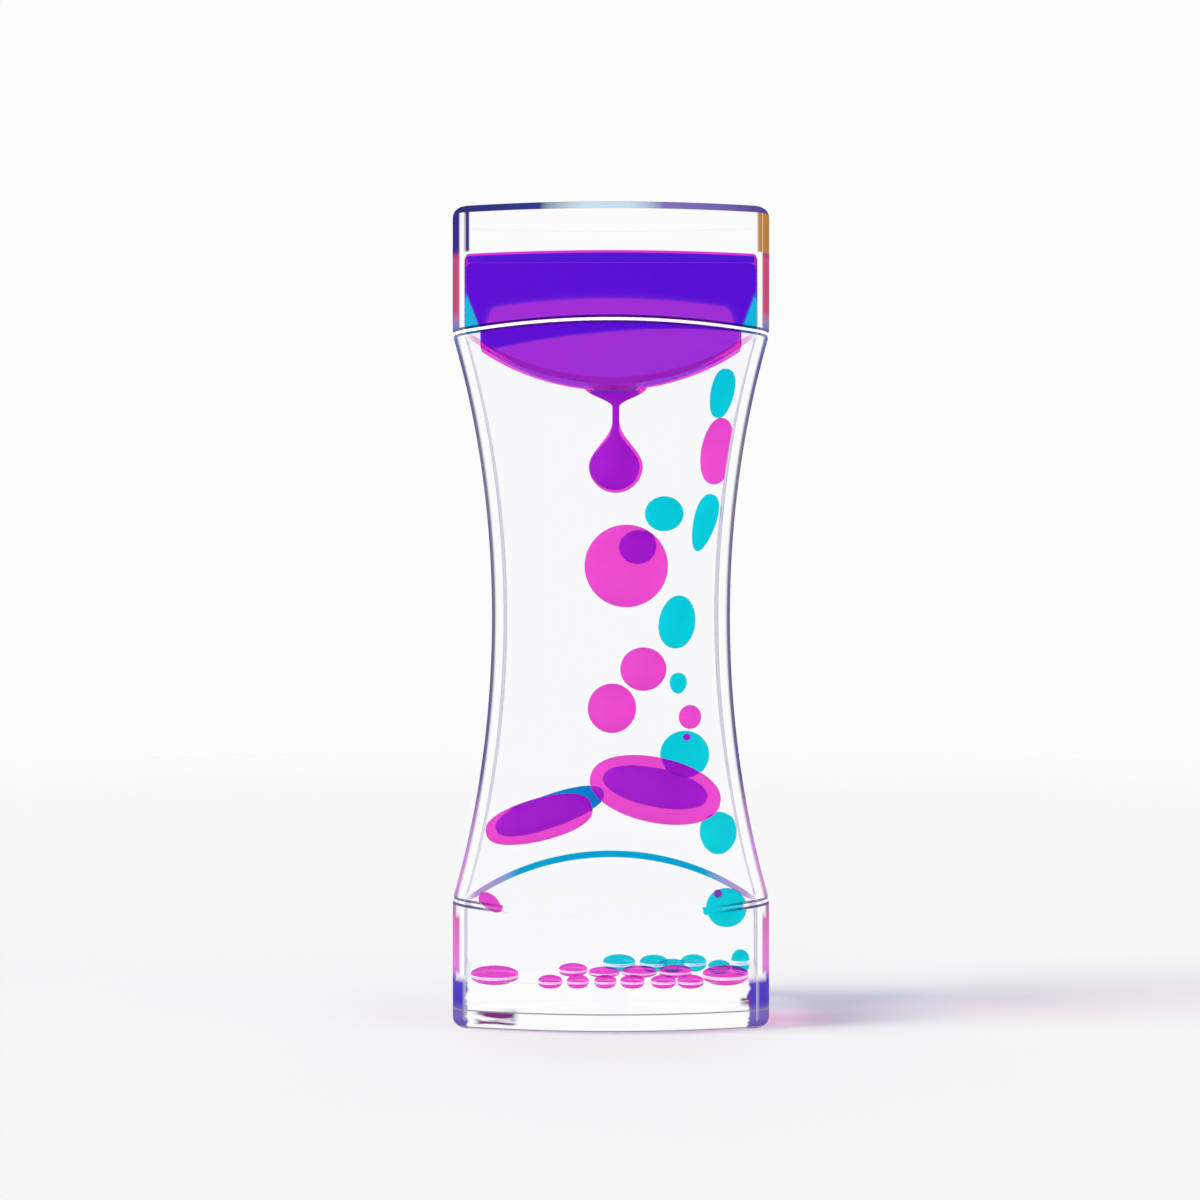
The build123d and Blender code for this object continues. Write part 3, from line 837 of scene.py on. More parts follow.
def end_rings():
    """Rings of the upper end and the finish of each band."""
    lift = FLANGE / 2 + BOND_GAP
    inside = wall_rings(WALL, arched(lift), level(CEILING_Z - CAVITY_ROUND), WALL_STEPS)[:-1]
    inside += rounded_rings(WALL, CAVITY_ROUND, CEILING_Z)
    outside = lip_rings(lift, 1)
    outside += wall_rings(0, arched(lift + LIP_RADIUS), level(HEIGHT - RIM_RADIUS), WALL_STEPS)[:-1]
    outside += rim_rings()
    bands = [FLOOR] + [WETTED] * (len(inside) - 1) + [GLUED] + [LIP] * LIP_STEPS
    bands += [OUTSIDE] * (len(outside) - LIP_STEPS - 1) + [FLAT]
    return inside[::-1] + outside, bands


cap_rings, cap_bands = end_rings()
CAPS = {"upper": (cap_rings, UPPER_CLEAR), "lower": (turned_over(cap_rings), LOWER_CLEAR)}
for end, (rings, finishes) in CAPS.items():
    cap = lofted("clear_" + end + "_end", rings, cap_bands, finishes, upright=UPRIGHT)
    place(cap, "shell", "clear_plastic", end + "_cap")

# %% [markdown]
# ## The waisted tube
# Between the two joints runs the tube. A single sheet made thick by a modifier would not meet the
# arched joints squarely. The loft goes up the outside and down the inside instead, and the last ring
# joins the first, so the wall has its true thickness and bends the light twice.

# %% Waisted tube
TUBE_STEPS = 60
LOWER_LIP = len(UPPER_CLEAR)


def tube_piece():
    """Tube with its outer and inner wall and its two glued ends."""
    lift = -FLANGE / 2 - BOND_GAP
    top, lip_top = arched(lift), arched(lift - LIP_RADIUS)
    lip = lip_rings(lift, -1)
    outside = turned_over(lip) + wall_rings(0, flipped(lip_top), lip_top, TUBE_STEPS) + lip[::-1]
    inside = wall_rings(WALL, top, flipped(top), TUBE_STEPS)
    bands = [LOWER_LIP] * LIP_STEPS + [OUTSIDE] * TUBE_STEPS + [LIP] * LIP_STEPS
    bands += [GLUED] + [WETTED] * TUBE_STEPS + [GLUED]
    finishes = UPPER_CLEAR + [lower_lip]
    return lofted("clear_waisted_tube", outside + inside, bands, finishes, True, UPRIGHT)


place(tube_piece(), "shell", "clear_plastic", "waist_tube")

# %% [markdown]
# ## Rims of the trays
# The pan of a tray lies in fluid and hardly shows, but its front rim gathers the colour of the liquid
# near it: the lower rim is a thin blue arc that turns violet at its ends. Light would have to run the
# whole length of the rim to do that, so this light is painted on the rim's finish.

# %% Finishes of the rims
# Painted light of the liquids along the front rims of the pans.
LOWER_RIM = (0.0, 0.14, 0.42)
LOWER_RIM_END = (0.22, 0.10, 0.42)
UPPER_RIM = (0.80, 0.22, 0.55)
RIM_BEHIND = (-11.5, -10.5)


def rim_finish(name, middle_colour, end_colour):
    """Front rim of a pan with the painted light of the liquid, clear at the back."""
    finish, shader, tree = new_finish(name, GLUE_INDEX, 1.0)
    colour = blend(end_mask(tree), middle_colour, end_colour)
    behind = soft_step(place_mm(tree)[1], *RIM_BEHIND)
    feed(shader.inputs["Base Color"], blend(behind, colour, CLEAR_FACE))
    veil_rays(shader)
    return finish


upper_rim = rim_finish("upper_rim", UPPER_RIM, UPPER_RIM)
lower_rim = rim_finish("lower_rim", LOWER_RIM, LOWER_RIM_END)
print("finishes", upper_rim.name, "and", lower_rim.name)

# %% [markdown]
# ## The drip trays
# A tray is a thin flange with a trough-shaped pan under it, moulded in one. Boxes and cylinders joined
# by booleans would leave ragged edges at the arch. Ten rings give one skin, and set off the bright line
# of the flange's edge from its two lips. The lower tray is turned over.

# %% Drip trays
RIM = len(UPPER_CLEAR)
RIM_LINE = 1.2
BRIGHT_LINE = 0.52


def tray_rings():
    """Rings of the upper tray, from the inside of its pan to the underside."""
    top, bottom = arched(FLANGE / 2), arched(-FLANGE / 2)
    pan = lambda x: trough_z(x, -TRAY_WALL)
    under = lambda x: min(trough_z(x, 0), bottom(x) - 2 * BOND_GAP)
    line = lambda x: min(under(x) + RIM_LINE, bottom(x) - BOND_GAP)
    pan_side = WALL + TRAY_GAP
    edge = LIP_RADIUS / 2
    rings = [ring(PAN_INSET, pan), ring(PAN_INSET, top), ring(WALL, top), ring(edge, top)]
    rings += [ring(edge, arched(BRIGHT_LINE / 2)), ring(edge, arched(-BRIGHT_LINE / 2))]
    rings += [ring(edge, bottom), ring(pan_side, bottom), ring(pan_side, line), ring(pan_side, under)]
    bands = [GLUED, GLUED, GLUED, GLUED, LIP, SEAM, LIP, GLUED, GLUED, RIM, GLUED]
    return rings, bands


pan_rings, pan_bands = tray_rings()
TRAYS = {
    "upper": (pan_rings, UPPER_CLEAR + [upper_rim]),
    "lower": (turned_over(pan_rings), LOWER_CLEAR + [lower_rim]),
}
for end, (rings, finishes) in TRAYS.items():
    tray = lofted("clear_" + end + "_tray", rings, pan_bands, finishes)
    place(tray, "shell", "clear_plastic", end + "_tray")

# %% [markdown]
# ## Rooms inside
# The dividers, the clear fluid and the coloured pools all fill the same rooms, only to other depths.
# One helper gives the rings of a room, and clamps them to the depths that a piece holds.

# %% Rings of the rooms
def drawn_in(points, rule, share):
    """Ring drawn in from the sides, at the heights of a rule."""
    return [(x * share, y, rule(x * share)) for x, y, z in points]


def reservoir_rings(gap, room, floor_wall=TRAY_WALL, pan_inset=PAN_INSET, share=1.0):
    """Rings of the room above the upper tray, from the trough to the ceiling."""
    ledge = arched(FLANGE / 2 + gap)
    pan = lambda x: min(trough_z(x, -floor_wall - gap), ledge(x) - gap)
    start = ring(pan_inset + gap, ledge, room)
    rings = [drawn_in(start, pan, share), drawn_in(start, ledge, share)]
    top = CEILING_Z - gap
    rings += wall_rings(WALL + gap, ledge, level(top - CAVITY_ROUND), WALL_STEPS, room)[:-1]
    return rings + rounded_rings(WALL + gap, CAVITY_ROUND, top, room)


def column_rings(gap, room):
    """Rings of the room between the two trays."""
    top = lambda x: min(trough_z(x, gap), arch_z(x, -FLANGE / 2 - gap))
    return wall_rings(WALL + gap, flipped(top), top, TUBE_STEPS, room)


def filled(name, rings, finish):
    """Piece that fills a room in one finish."""
    return lofted(name, rings, [0] * (len(rings) + 1), [finish])


DIVIDER_ROOM = (-DIVIDER_HALF, DIVIDER_HALF)
ROOMS = {
    "front": (-DEPTH, -DIVIDER_HALF - SKIN_GAP),
    "rear": (DIVIDER_HALF + SKIN_GAP, DEPTH),
}
print("rooms:", ", ".join(ROOMS))

# %% [markdown]
# ## Dividers
# Thin clear plates part the front chamber from the rear one, so that the two colours never mix. A plain
# plate would cut through the arched trays, so each is a room drawn in to the thickness of the plate.

# %% Dividers
divider_end = reservoir_rings(2 * SKIN_GAP, DIVIDER_ROOM)
DIVIDERS = {
    "upper": divider_end,
    "lower": turned_over(divider_end),
    "column": column_rings(2 * SKIN_GAP, DIVIDER_ROOM),
}
for name, rings in DIVIDERS.items():
    divider = filled("clear_" + name + "_divider", rings, glued_acrylic)
    place(divider, "shell", "clear_plastic", name + "_divider")

# %% [markdown]
# ## Clear fluid
# The fluid touches the walls, so there is no film of air to mirror the light. It could be left out,
# but a piece of its own shows what fills the rooms. Its skin has an index of one: the bend between
# acrylic and fluid is already in the wetted walls.

# %% Clear fluid
FLUID_INDEX = 1.0
FLUID_EDGE = (0.99, 0.99, 1.0)
clear_fluid = inner_finish("clear_fluid", FLUID_INDEX, FLUID_EDGE)
for side, room in ROOMS.items():
    column = filled("clear_fluid_column_" + side, column_rings(SKIN_GAP, room), clear_fluid)
    place(column, "shell", "clear_fluid", side + "_column_fluid")
    sump = filled("clear_fluid_sump_" + side, turned_over(reservoir_rings(SKIN_GAP, room)), clear_fluid)
    place(sump, "shell", "clear_fluid", side + "_lower_fluid")

# %% [markdown]
# ## Uneven dye
# The front stream is magenta and the rear one cyan, and the dye is never quite even. A flat colour would
# look like paint, so a group with soft noise lets each colour drift a little towards a deeper one.

# %% Group for the dye
DYE_DETAIL = 2.0
DYE_STEP = (0.3, 0.7)


def dye_group():
    """Colour that drifts in soft patches towards a deeper one."""
    inputs = [("Colour", COLOUR, (1, 1, 1)), ("Deep Colour", COLOUR, (1, 1, 1))]
    inputs += [("Patch Size", NUMBER, 90.0)]
    tree, given, put = new_group("uneven_dye", inputs, [("Colour", COLOUR)])
    mask = soft_step(noise(tree, given["Patch Size"], DYE_DETAIL), *DYE_STEP)
    feed(put["Colour"], blend(mask, given["Colour"], given["Deep Colour"]))
    return tree


uneven_dye = dye_group()
print("group", uneven_dye.name)

# %% [markdown]
# ## Coloured liquids
# Dyed liquid lets light through and scatters a little, so most of the Principled shader is transmission
# and a share stays diffuse. The index is close to one, because the fluid round the drops bends light
# almost as much. A magenta drop in front of a cyan one looks violet, where two filters would give dark
# blue, so a rear drop counts the surfaces that a ray has passed and turns violet behind a front one.

# %% Finishes of the drops
LIQUID_INDEX = 1.004
DROP_CLEARNESS = 0.90
DROP_EDGE = (0.80, 0.97)
# Plain, deep and rim colour of each dye; the darker rim is a painted reflection at the drop's glancing
# edge.
MAGENTA = ((0.86, 0.085, 0.65), (0.80, 0.070, 0.60), (0.56, 0.012, 0.38))
CYAN = ((0.003, 0.67, 0.74), (0.002, 0.61, 0.70), (0.0, 0.30, 0.38))
BLUE = ((0.002, 0.26, 0.68), (0.002, 0.22, 0.62), (0.0, 0.10, 0.34))
VIOLET = (0.32, 0.003, 0.97)
VIOLET_DEEP = (0.27, 0.002, 0.93)
FRONT_SURFACES = 8.5


def liquid_finish(name, colours, mixes=False):
    """Dyed liquid from its plain and deep colour, with a darker rim painted as reflection; behind
    another drop it may mix to violet.
    """
    colour, deep_colour, painted_edge_colour = colours
    finish, shader, tree = new_finish(name, LIQUID_INDEX, DROP_CLEARNESS)
    dye = use_group(tree, uneven_dye, colour=colour, deep_colour=deep_colour)
    seen = blend(glance_mask(tree, *DROP_EDGE), dye["Colour"], painted_edge_colour)
    if mixes:
        mixed = use_group(tree, uneven_dye, colour=VIOLET, deep_colour=VIOLET_DEEP)
        passed = add(tree, "LightPath").outputs["Transmission Depth"]
        seen = blend(maths("GREATER_THAN", passed, FRONT_SURFACES), seen, mixed["Colour"])
    feed(shader.inputs["Base Color"], seen)
    veil_rays(shader, colour, colour)
    return finish


LIQUIDS = {
    "front": liquid_finish("magenta_drop", MAGENTA),
    "rear": liquid_finish("cyan_drop", CYAN, True),
}
sunk_cyan = liquid_finish("sunk_cyan", CYAN)
blue_drop = liquid_finish("blue_drop", BLUE, True)
OWN_FINISH = {"rear_wide_drop_left": blue_drop, "rear_sunk_drop": sunk_cyan}
SLOTS = {"front": "magenta_liquid", "rear": "cyan_liquid"}
print("liquids:", ", ".join(finish.name for finish in LIQUIDS.values()))

# %% [markdown]
# ## Layers of the pools
# The two pools stand one behind the other. Seen through both, they are deep violet at the top and a
# lighter purple where the trough draws the rear liquid thin. A dark crescent lies under the arch, the
# ends of the ledge are clear, and beside the walls the rear cyan shows alone. Where the roof is seen
# from inside, the front pool takes a deep blue painted reflection. Real dyes would need many more rays
# to settle, so a group works the layers out from the place, and each pool has its colours.

# %% Group for the layers of the pools
LAYER_TOP = 135.1
LAYER_BEND = 0.0037
LAYER_END = 21.4
LAYER_FALL = 0.8
ARCH_SEEN = JOINT_Z + ARCH_RISE + 1.5
CRESCENT_LEAST = 0.55
CRESCENT_BEND = 0.0013
CRESCENT_SLOPE = 0.015
CRESCENT_RIGHT = 22.0
ROOF_BEHIND = (3.0, 4.2)
ROOF_STEP = (CEILING_Z - 0.4, CEILING_Z - 0.2)
PAN_OUT = 23.95
CORNER_OUT = 23.0
CORNER_LEVEL = 126.5
CORNER_STEEP = 2.6
CORNER_SOFT = 0.6
SIGHT_SLOPE = 0.11
SOFT = 0.12


def pool_group():
    """Colour of a pool: deep above, light below a curve, another beside the walls, and a painted
    reflection under the roof.
    """
    labels = ("Deep Colour", "Light Colour", "Corner Colour", "Roof Reflection")
    inputs = [(label, COLOUR, (1, 1, 1)) for label in labels] + [("Roof Amount", NUMBER, 0.0)]
    tree, given, put = new_group("pool_layers", inputs, [("Colour", COLOUR)])
    across, back, up = place_mm(tree)
    square = times(across, across)
    aside = unsigned(across)
    height = minus(up, times(back, SIGHT_SLOPE))
    past = largest(minus(aside, LAYER_END), 0.0)
    bend = plus(times(square, LAYER_BEND), times(times(past, past), LAYER_FALL))
    below = soft_step(minus(minus(LAYER_TOP, bend), height), -SOFT, SOFT)
    drop = minus(minus(ARCH_SEEN, divided(square, 2 * ARCH_RADIUS)), height)
    under_arch = soft_step(drop, -SOFT, SOFT)
    left = minus(CRESCENT_RIGHT, across)
    growth = plus(times(left, CRESCENT_BEND), CRESCENT_SLOPE)
    thick = plus(times(left, growth), CRESCENT_LEAST)
    dark = times(under_arch, soft_step(minus(thick, drop), -SOFT, SOFT))
    colour = blend(times(below, opposite(dark)), given["Deep Colour"], given["Light Colour"])
    out = times(minus(aside, CORNER_OUT), CORNER_STEEP)
    climb = minus(out, minus(height, CORNER_LEVEL))
    corner = times(soft_step(climb, -CORNER_SOFT, CORNER_SOFT), opposite(under_arch))
    colour = blend(corner, colour, given["Corner Colour"])
    beyond = times(under_arch, soft_step(aside, PAN_OUT - SOFT, PAN_OUT + SOFT))
    colour = blend(beyond, colour, CLEAR_FACE)
    face = minus(divided(square, 2 * CROWN_RADIUS), DEPTH / 2 - WALL)
    # Painted reflection, only where the roof is seen from inside.
    roof = times(soft_step(up, *ROOF_STEP), soft_step(minus(back, face), *ROOF_BEHIND))
    roof = times(roof, given["Roof Amount"])
    feed(put["Colour"], blend(roof, colour, given["Roof Reflection"]))
    return tree


pool_layers = pool_group()
print("group", pool_layers.name, "with", len(pool_layers.nodes), "nodes")

# %% [markdown]
# ## Pools
# A pool fills its half of the upper end down into the pan. It could be cut from a block by the tray, but
# it is lofted in the same room as the clear fluid, with a floor of its own: the front pool fills the
# pan to its underside, and the rear one is shallower.

# %% Pools in the upper reservoir
POOL_CLEARNESS = 0.95
PAN_SHARE = 0.89
PAN_FLOOR = {"front": 0.1, "rear": 2.5}
# Deep, light and corner colour of each pool, and the colour of the painted reflection under its roof.
POOL_COLOURS = {
    "front": ((0.78, 0.045, 0.70), (0.84, 0.08, 0.72), (0.10, 0.70, 0.86), (0.001, 0.001, 0.62)),
    "rear": ((0.018, 0.05, 0.95), (0.35, 0.38, 0.94), (0.004, 0.70, 0.82), (0.018, 0.05, 0.95)),
}


def pool_finish(side):
    """Liquid of a pool, with its layers."""
    deep, light, corner, roof = POOL_COLOURS[side]
    finish, shader, tree = new_finish(side + "_pool_liquid", LIQUID_INDEX, POOL_CLEARNESS)
    colours = {"deep_colour": deep, "light_colour": light, "corner_colour": corner, "roof_reflection": roof}
    layers = use_group(tree, pool_layers, roof_amount=from_inside(tree), **colours)
    feed(shader.inputs["Base Color"], layers["Colour"])
    veil_rays(shader, light, light)
    return finish


for side, room in ROOMS.items():
    rings = reservoir_rings(SKIN_GAP, room, PAN_FLOOR[side], WALL, PAN_SHARE)
    pool = filled(side + "_coloured_pool", rings, pool_finish(side))
    place(pool, "shell", SLOTS[side], side + "_pool")

# %% [markdown]
# ## Spun skins
# Drops, beads and plugs are all round about one axis. Each could start from a stock ball or cylinder,
# but a profile spun about the axis takes any shape, with even quads and a pole at each end. Drops and
# plugs take their place and their half sizes from the box of their solid.

# %% Spun skins
DROP_RINGS = 28
DROP_SPOKES = 40


def spun_skin(profile, spokes=DROP_SPOKES):
    """Points and faces round the X axis through a profile of along, radius pairs; its ends are poles."""
    points = [(profile[0][0], 0.0, 0.0)]
    for along, radius in profile[1:-1]:
        for spoke in range(spokes):
            angle = 2 * pi * spoke / spokes
            points.append((along, radius * cos(angle), radius * sin(angle)))
    points.append((profile[-1][0], 0.0, 0.0))
    faces = []
    rows = len(profile) - 2
    for spoke in range(spokes):
        after = (spoke + 1) % spokes
        faces.append((0, 1 + after, 1 + spoke))
        for row in range(rows - 1):
            a, b = 1 + row * spokes, 1 + (row + 1) * spokes
            faces.append((a + spoke, a + after, b + after, b + spoke))
        last = 1 + (rows - 1) * spokes
        faces.append((last + spoke, last + after, len(points) - 1))
    return points, faces


def drop_profile(fullness, taper):
    """Profile of a drop of half length one; taper makes its far end slimmer."""
    profile = []
    for step in range(DROP_RINGS + 1):
        angle = pi * step / DROP_RINGS
        along = -cos(angle)
        profile.append((along, sin(angle) ** fullness * (1 - taper * along)))
    return profile


def node_box(node):
    """Centre and half sizes of a node's box in millimetres."""
    low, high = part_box(node)
    centre = [(a + b) / 2 / MM for a, b in zip(low, high)]
    half = [(b - a) / 2 / MM for a, b in zip(low, high)]
    return centre, half


print("a drop has", DROP_RINGS, "rings and", DROP_SPOKES, "spokes")

# %% [markdown]
# ## Skin of a drop
# A sinking drop is nearly an ellipsoid, but some ends are blunt and some drawn out, which a scaled ball
# could not show. A skin of rings about the long axis has its fullness and taper set for each drop. Its
# half sizes and lean come from the box of its solid. A trim gives shares of length and thickness and a
# shift across and up, where the photo differs from the solid.

# %% Skin of a drop
WALL_FILM = 0.35
SAME_SIZE = 0.01
LEAST_SPREAD = 0.001
EXTRA_LEAN = {"rear_wide_drop_left": 5.0}
AS_SOLID = (1.0, 1.0, 0.0, 0.0)
TRIMS = {
    "front_wall_drop": (1.0, 1.0, 1.1, 0.2),
    "rear_hidden_drop": (0.92, 0.92, -0.2, 0.1),
    "rear_wide_drop_left": (1.20, 1.0, 0.0, -0.6),
    "rear_slim_drop": (0.95, 0.95, 0.1, 0.0),
    "rear_tear_drop": (0.96, 1.02, 0.25, 0.25),
    "front_corner_drop": (1.3, 1.3, 0.4, 0.3),
    "front_wide_drop_left": (0.97, 1.0, -0.3, 0.0),
}


def drop_skin(node, lean_side, fullness, taper):
    """Drop from the box of its solid, leaning to the right (1) or to the left (-1)."""
    long_share, short_share, shift_across, shift_up = TRIMS.get(node, AS_SOLID)
    centre, (wide, deep, tall) = node_box(node)
    centre = (centre[0] + shift_across, centre[1], centre[2] + shift_up)
    short = wide if abs(wide - tall) < SAME_SIZE else deep
    long = sqrt(max(wide**2 + tall**2 - short**2, short**2))
    spread = long**2 - short**2
    level_share = (wide**2 - short**2) / spread if spread > LEAST_SPREAD else 1.0
    lean = lean_side * asin(sqrt(min(max(1 - level_share, 0), 1)))
    lean += radians(EXTRA_LEAN.get(node, 0.0))
    points, faces = spun_skin(drop_profile(fullness, taper))
    placed = []
    for along, back, up in points:
        a, b = along * long * long_share, up * short * short_share
        x, z = a * cos(lean) - b * sin(lean), a * sin(lean) + b * cos(lean)
        x = min(centre[0] + x, half_width(centre[2] + z, WALL) - WALL_FILM)
        placed.append((x, centre[1] + back * deep * short_share, centre[2] + z))
    return placed, faces


print("drops that are trimmed:", len(TRIMS))

# %% [markdown]
# ## Sinking drops
# Each drop has the side to which it leans, its fullness (below one is blunter) and its taper. Drops
# could be strewn by chance, but every one stands for a solid on its own joint, so the table names them.

# %% Sinking drops
DROPS = {
    "front_big_drop": (1, 1.0, 0.0),
    "front_wall_drop": (1, 0.9, 0.05),
    "front_round_drop_upper": (1, 1.0, 0.0),
    "front_round_drop_lower": (1, 1.0, 0.0),
    "front_small_drop": (1, 1.0, 0.0),
    "front_bead": (1, 1.0, 0.0),
    "front_wide_drop_right": (-1, 0.9, 0.0),
    "front_wide_drop_left": (1, 0.75, -0.05),
    "front_last_bead": (1, 1.0, 0.0),
    "front_corner_drop": (-1, 1.0, 0.1),
    "rear_hidden_drop": (1, 1.0, 0.0),
    "rear_round_drop": (1, 1.0, 0.0),
    "rear_slim_drop": (1, 0.85, -0.2),
    "rear_top_drop": (1, 0.8, -0.1),
    "rear_egg_drop": (1, 0.95, 0.05),
    "rear_small_drop": (1, 1.0, -0.1),
    "rear_large_drop": (1, 1.0, 0.0),
    "rear_wide_drop_right": (-1, 0.9, 0.0),
    "rear_wide_drop_left": (1, 0.8, 0.0),
    "rear_tear_drop": (1, 0.95, -0.1),
    "rear_sunk_drop": (1, 1.0, 0.0),
}
for node, shape in DROPS.items():
    side = node.split("_")[0]
    points, faces = drop_skin(node, *shape)
    finish = OWN_FINISH.get(node, LIQUIDS[side])
    drop = finish_mesh("liquid_" + node, points, faces, [0] * len(faces), [finish])
    place(drop, node + "_body", SLOTS[side], node)

# %% [markdown]
# ## Hanging drops
# Under each orifice a drop swells on a thin neck before it lets go. Root and drop could be one skin, but
# the root clings to the tray when the drop falls, so two skins meet in the neck. The front root hangs
# lower than its solid, with the deeper pan, and the rear one ends higher, seated up in its pan.

# %% Hanging drops and their roots
NECK_STEPS = 10
NECK_LENGTH = 4.0
NECK_SHARE = 0.13
NECK_REACH = 0.19
ROOT_LIFT = {"front": -1.2, "rear": 0.6}
ROOT_SEAT = {"front": 0.0, "rear": 1.7}
ROOT_SHARE = {"front": 1.0, "rear": 0.95}


def eased(low, high, share):
    """Smooth change from one value to another."""
    return low + (high - low) * (3 * share**2 - 2 * share**3)


def upright_piece(name, profile, centre, finish):
    """Spun piece about an upright axis, from a profile of height, radius pairs."""
    points, faces = spun_skin(profile)
    placed = [(centre[0] + y, centre[1] + z, along) for along, y, z in points]
    return finish_mesh(name, placed, faces, [0] * len(faces), [finish])


def hanging_profile(low, high, wide, neck, neck_length):
    """Profile of a hanging drop from its tip to the top of its neck."""
    profile = []
    middle = low + wide
    for angle in quarter(DROP_RINGS // 2):
        profile.append((middle - wide * cos(angle), wide * sin(angle)))
    shoulder = high - neck_length
    for step in range(1, NECK_STEPS + 1):
        share = step / NECK_STEPS
        profile.append((middle + (shoulder - middle) * share, eased(wide, neck, share)))
    return profile + [(high, neck), (high, 0.0)]


def root_profile(low, high, wide, neck):
    """Profile of a root from its neck up to the tray."""
    profile = [(low, 0.0)]
    for step in range(NECK_STEPS + 1):
        share = step / NECK_STEPS
        profile.append((low + (high - low) * share, eased(neck, wide, share)))
    return profile + [(high, 0.0)]


for side in ROOMS:
    node = side + "_hanging_drop"
    centre, half = node_box(node)
    low, high = centre[2] - half[2], centre[2] + half[2] + NECK_REACH + ROOT_LIFT[side]
    neck = NECK_SHARE * half[0]
    profile = hanging_profile(low, high, half[0], neck, NECK_LENGTH + ROOT_LIFT[side])
    drop = upright_piece("liquid_" + node, profile, centre, LIQUIDS[side])
    place(drop, node + "_body", SLOTS[side], node)
    node = side + "_drop_root"
    centre, half = node_box(node)
    low = centre[2] - half[2] + ROOT_LIFT[side]
    high = trough_z(centre[0], SKIN_GAP) + ROOT_SEAT[side]
    profile = root_profile(low, high, half[0] * ROOT_SHARE[side], neck)
    root = upright_piece("liquid_" + node, profile, centre, LIQUIDS[side])
    place(root, "shell", SLOTS[side], node)

# %% [markdown]
# ## Settled beads
# The beads on the floor are flattened to lenses by their own weight. The base slab mirrors each one,
# with a pale line between bead and image. Two low domes back to back give all three: the lower dome is
# a painted reflection and the pale line a painted highlight. A squashed ball would have no sharp edge.
# A bead has a place across and back, half width, height and lift.

# %% Settled beads
# The pale line between a bead and its lower dome is a painted highlight.
BEAD_HIGHLIGHT = (0.96, 0.84, 0.93)
BEAD_CLEARNESS = 0.3
BEAD_HAZE = (0.2, 0.5)
BEADS = {
    "front": [
        (-11.0, -3.0, 2.2, 1.2, 0.0), (-6.0, -3.0, 2.0, 1.2, 0.0), (-1.0, -3.0, 2.0, 1.2, 0.0),
        (3.9, -3.0, 2.2, 1.2, 0.0), (9.5, -3.0, 2.3, 1.2, 0.0), (14.4, -3.0, 2.4, 1.2, 0.0),
        (-6.9, 3.6, 2.6, 1.2, 1.0), (-1.2, 3.4, 2.8, 0.9, 0.6), (5.2, 3.4, 3.2, 1.0, 0.7),
        (11.8, 3.6, 3.0, 1.1, 0.7), (-21.2, 0.6, 4.4, 1.6, 0.5), (20.9, 0.6, 4.2, 1.7, 0.5),
    ],
    "rear": [
        (1.6, -1.0, 3.0, 1.6, 0.4), (8.0, -1.4, 2.6, 1.6, 0.4), (11.4, -1.4, 2.6, 1.2, 0.0),
        (15.4, -1.0, 2.4, 1.6, 0.4), (20.1, -4.4, 2.1, 1.3, 0.2), (24.0, -4.9, 1.7, 2.4, 1.2),
    ],
}
CHAMBER_Y = {"front": -7.7, "rear": 7.7}
BEAD_LIQUIDS = {"front": LIQUIDS["front"], "rear": sunk_cyan}
BEAD_GAP = 0.02
EDGE_SHARE = 0.16
BEAD_SPOKES = 32
DOME_MARK, LINE_MARK, FLAT_MARK = range(3)


def lens_profile(way):
    """Profile of half a bead of height and half width one, upwards (1) or downwards (-1)."""
    profile = [(way * BEAD_GAP, 0.0), (way * BEAD_GAP, 1.0)]
    for angle in quarter(DROP_RINGS // 2):
        profile.append((way * (EDGE_SHARE + (1 - EDGE_SHARE) * sin(angle)), cos(angle)))
    return profile


bead_highlight, line_shader, _ = frosted("bead_highlight", LIQUID_INDEX, BEAD_CLEARNESS, BEAD_HIGHLIGHT, BEAD_HAZE)
veil_rays(line_shader)
bead_flat = inner_finish("bead_floor", GLUE_INDEX, CLEAR_FACE)
for side, chamber in CHAMBER_Y.items():
    points, faces, marks = [], [], []
    for across, back, wide, high, lift in BEADS[side]:
        middle = END_THICKNESS + lift
        for way in (1, -1):
            skin, quads = spun_skin(lens_profile(way), BEAD_SPOKES)
            spoke_marks = [DOME_MARK] * (len(quads) // BEAD_SPOKES)
            spoke_marks[:2] = [FLAT_MARK, LINE_MARK]
            marks += spoke_marks * BEAD_SPOKES
            start = len(points)
            for along, y, z in skin:
                x = min(across + y * wide, WIDTH / 2 - WALL - WALL_FILM)
                points.append((x, chamber + back + z * wide, middle + along * high))
            faces += [tuple(start + corner for corner in quad) for quad in quads]
    name = "liquid_" + side + "_settled_beads"
    beads = finish_mesh(name, points, faces, marks, [BEAD_LIQUIDS[side], bead_highlight, bead_flat])
    place(beads, "shell", SLOTS[side], side + "_settled_beads")

# %% [markdown]
# ## Fill plugs
# Two round plugs, glued into the base, close the holes through which the timer was filled. They hardly
# show. Each is spun from the box of its solid, like the drops, rather than a stock cylinder, and stops
# a little below the floor on which the beads lie.

# %% Fill plugs
PLUG_TOP_GAP = 0.4
for side in ROOMS:
    node = side + "_fill_plug"
    centre, half = node_box(node)
    low, high = centre[2] - half[2], END_THICKNESS - PLUG_TOP_GAP
    profile = [(low, 0.0), (low, half[0]), (high, half[0]), (high, 0.0)]
    plug = upright_piece("clear_" + node, profile, centre, glued_acrylic)
    place(plug, "shell", "clear_plastic", node)

# %% [markdown]
# ## Studio
# Clear things are drawn by what stands round them. The background is plain white, and narrow dark
# panels stand at the slanting directions, so that the bent light at the edges turns into thin dark
# lines while the faces stay clear. What the faces mirror is a dim violet room, which keeps the deep
# colours deep. Panels and room are part of the world, and Light Path shows each kind of ray its own.

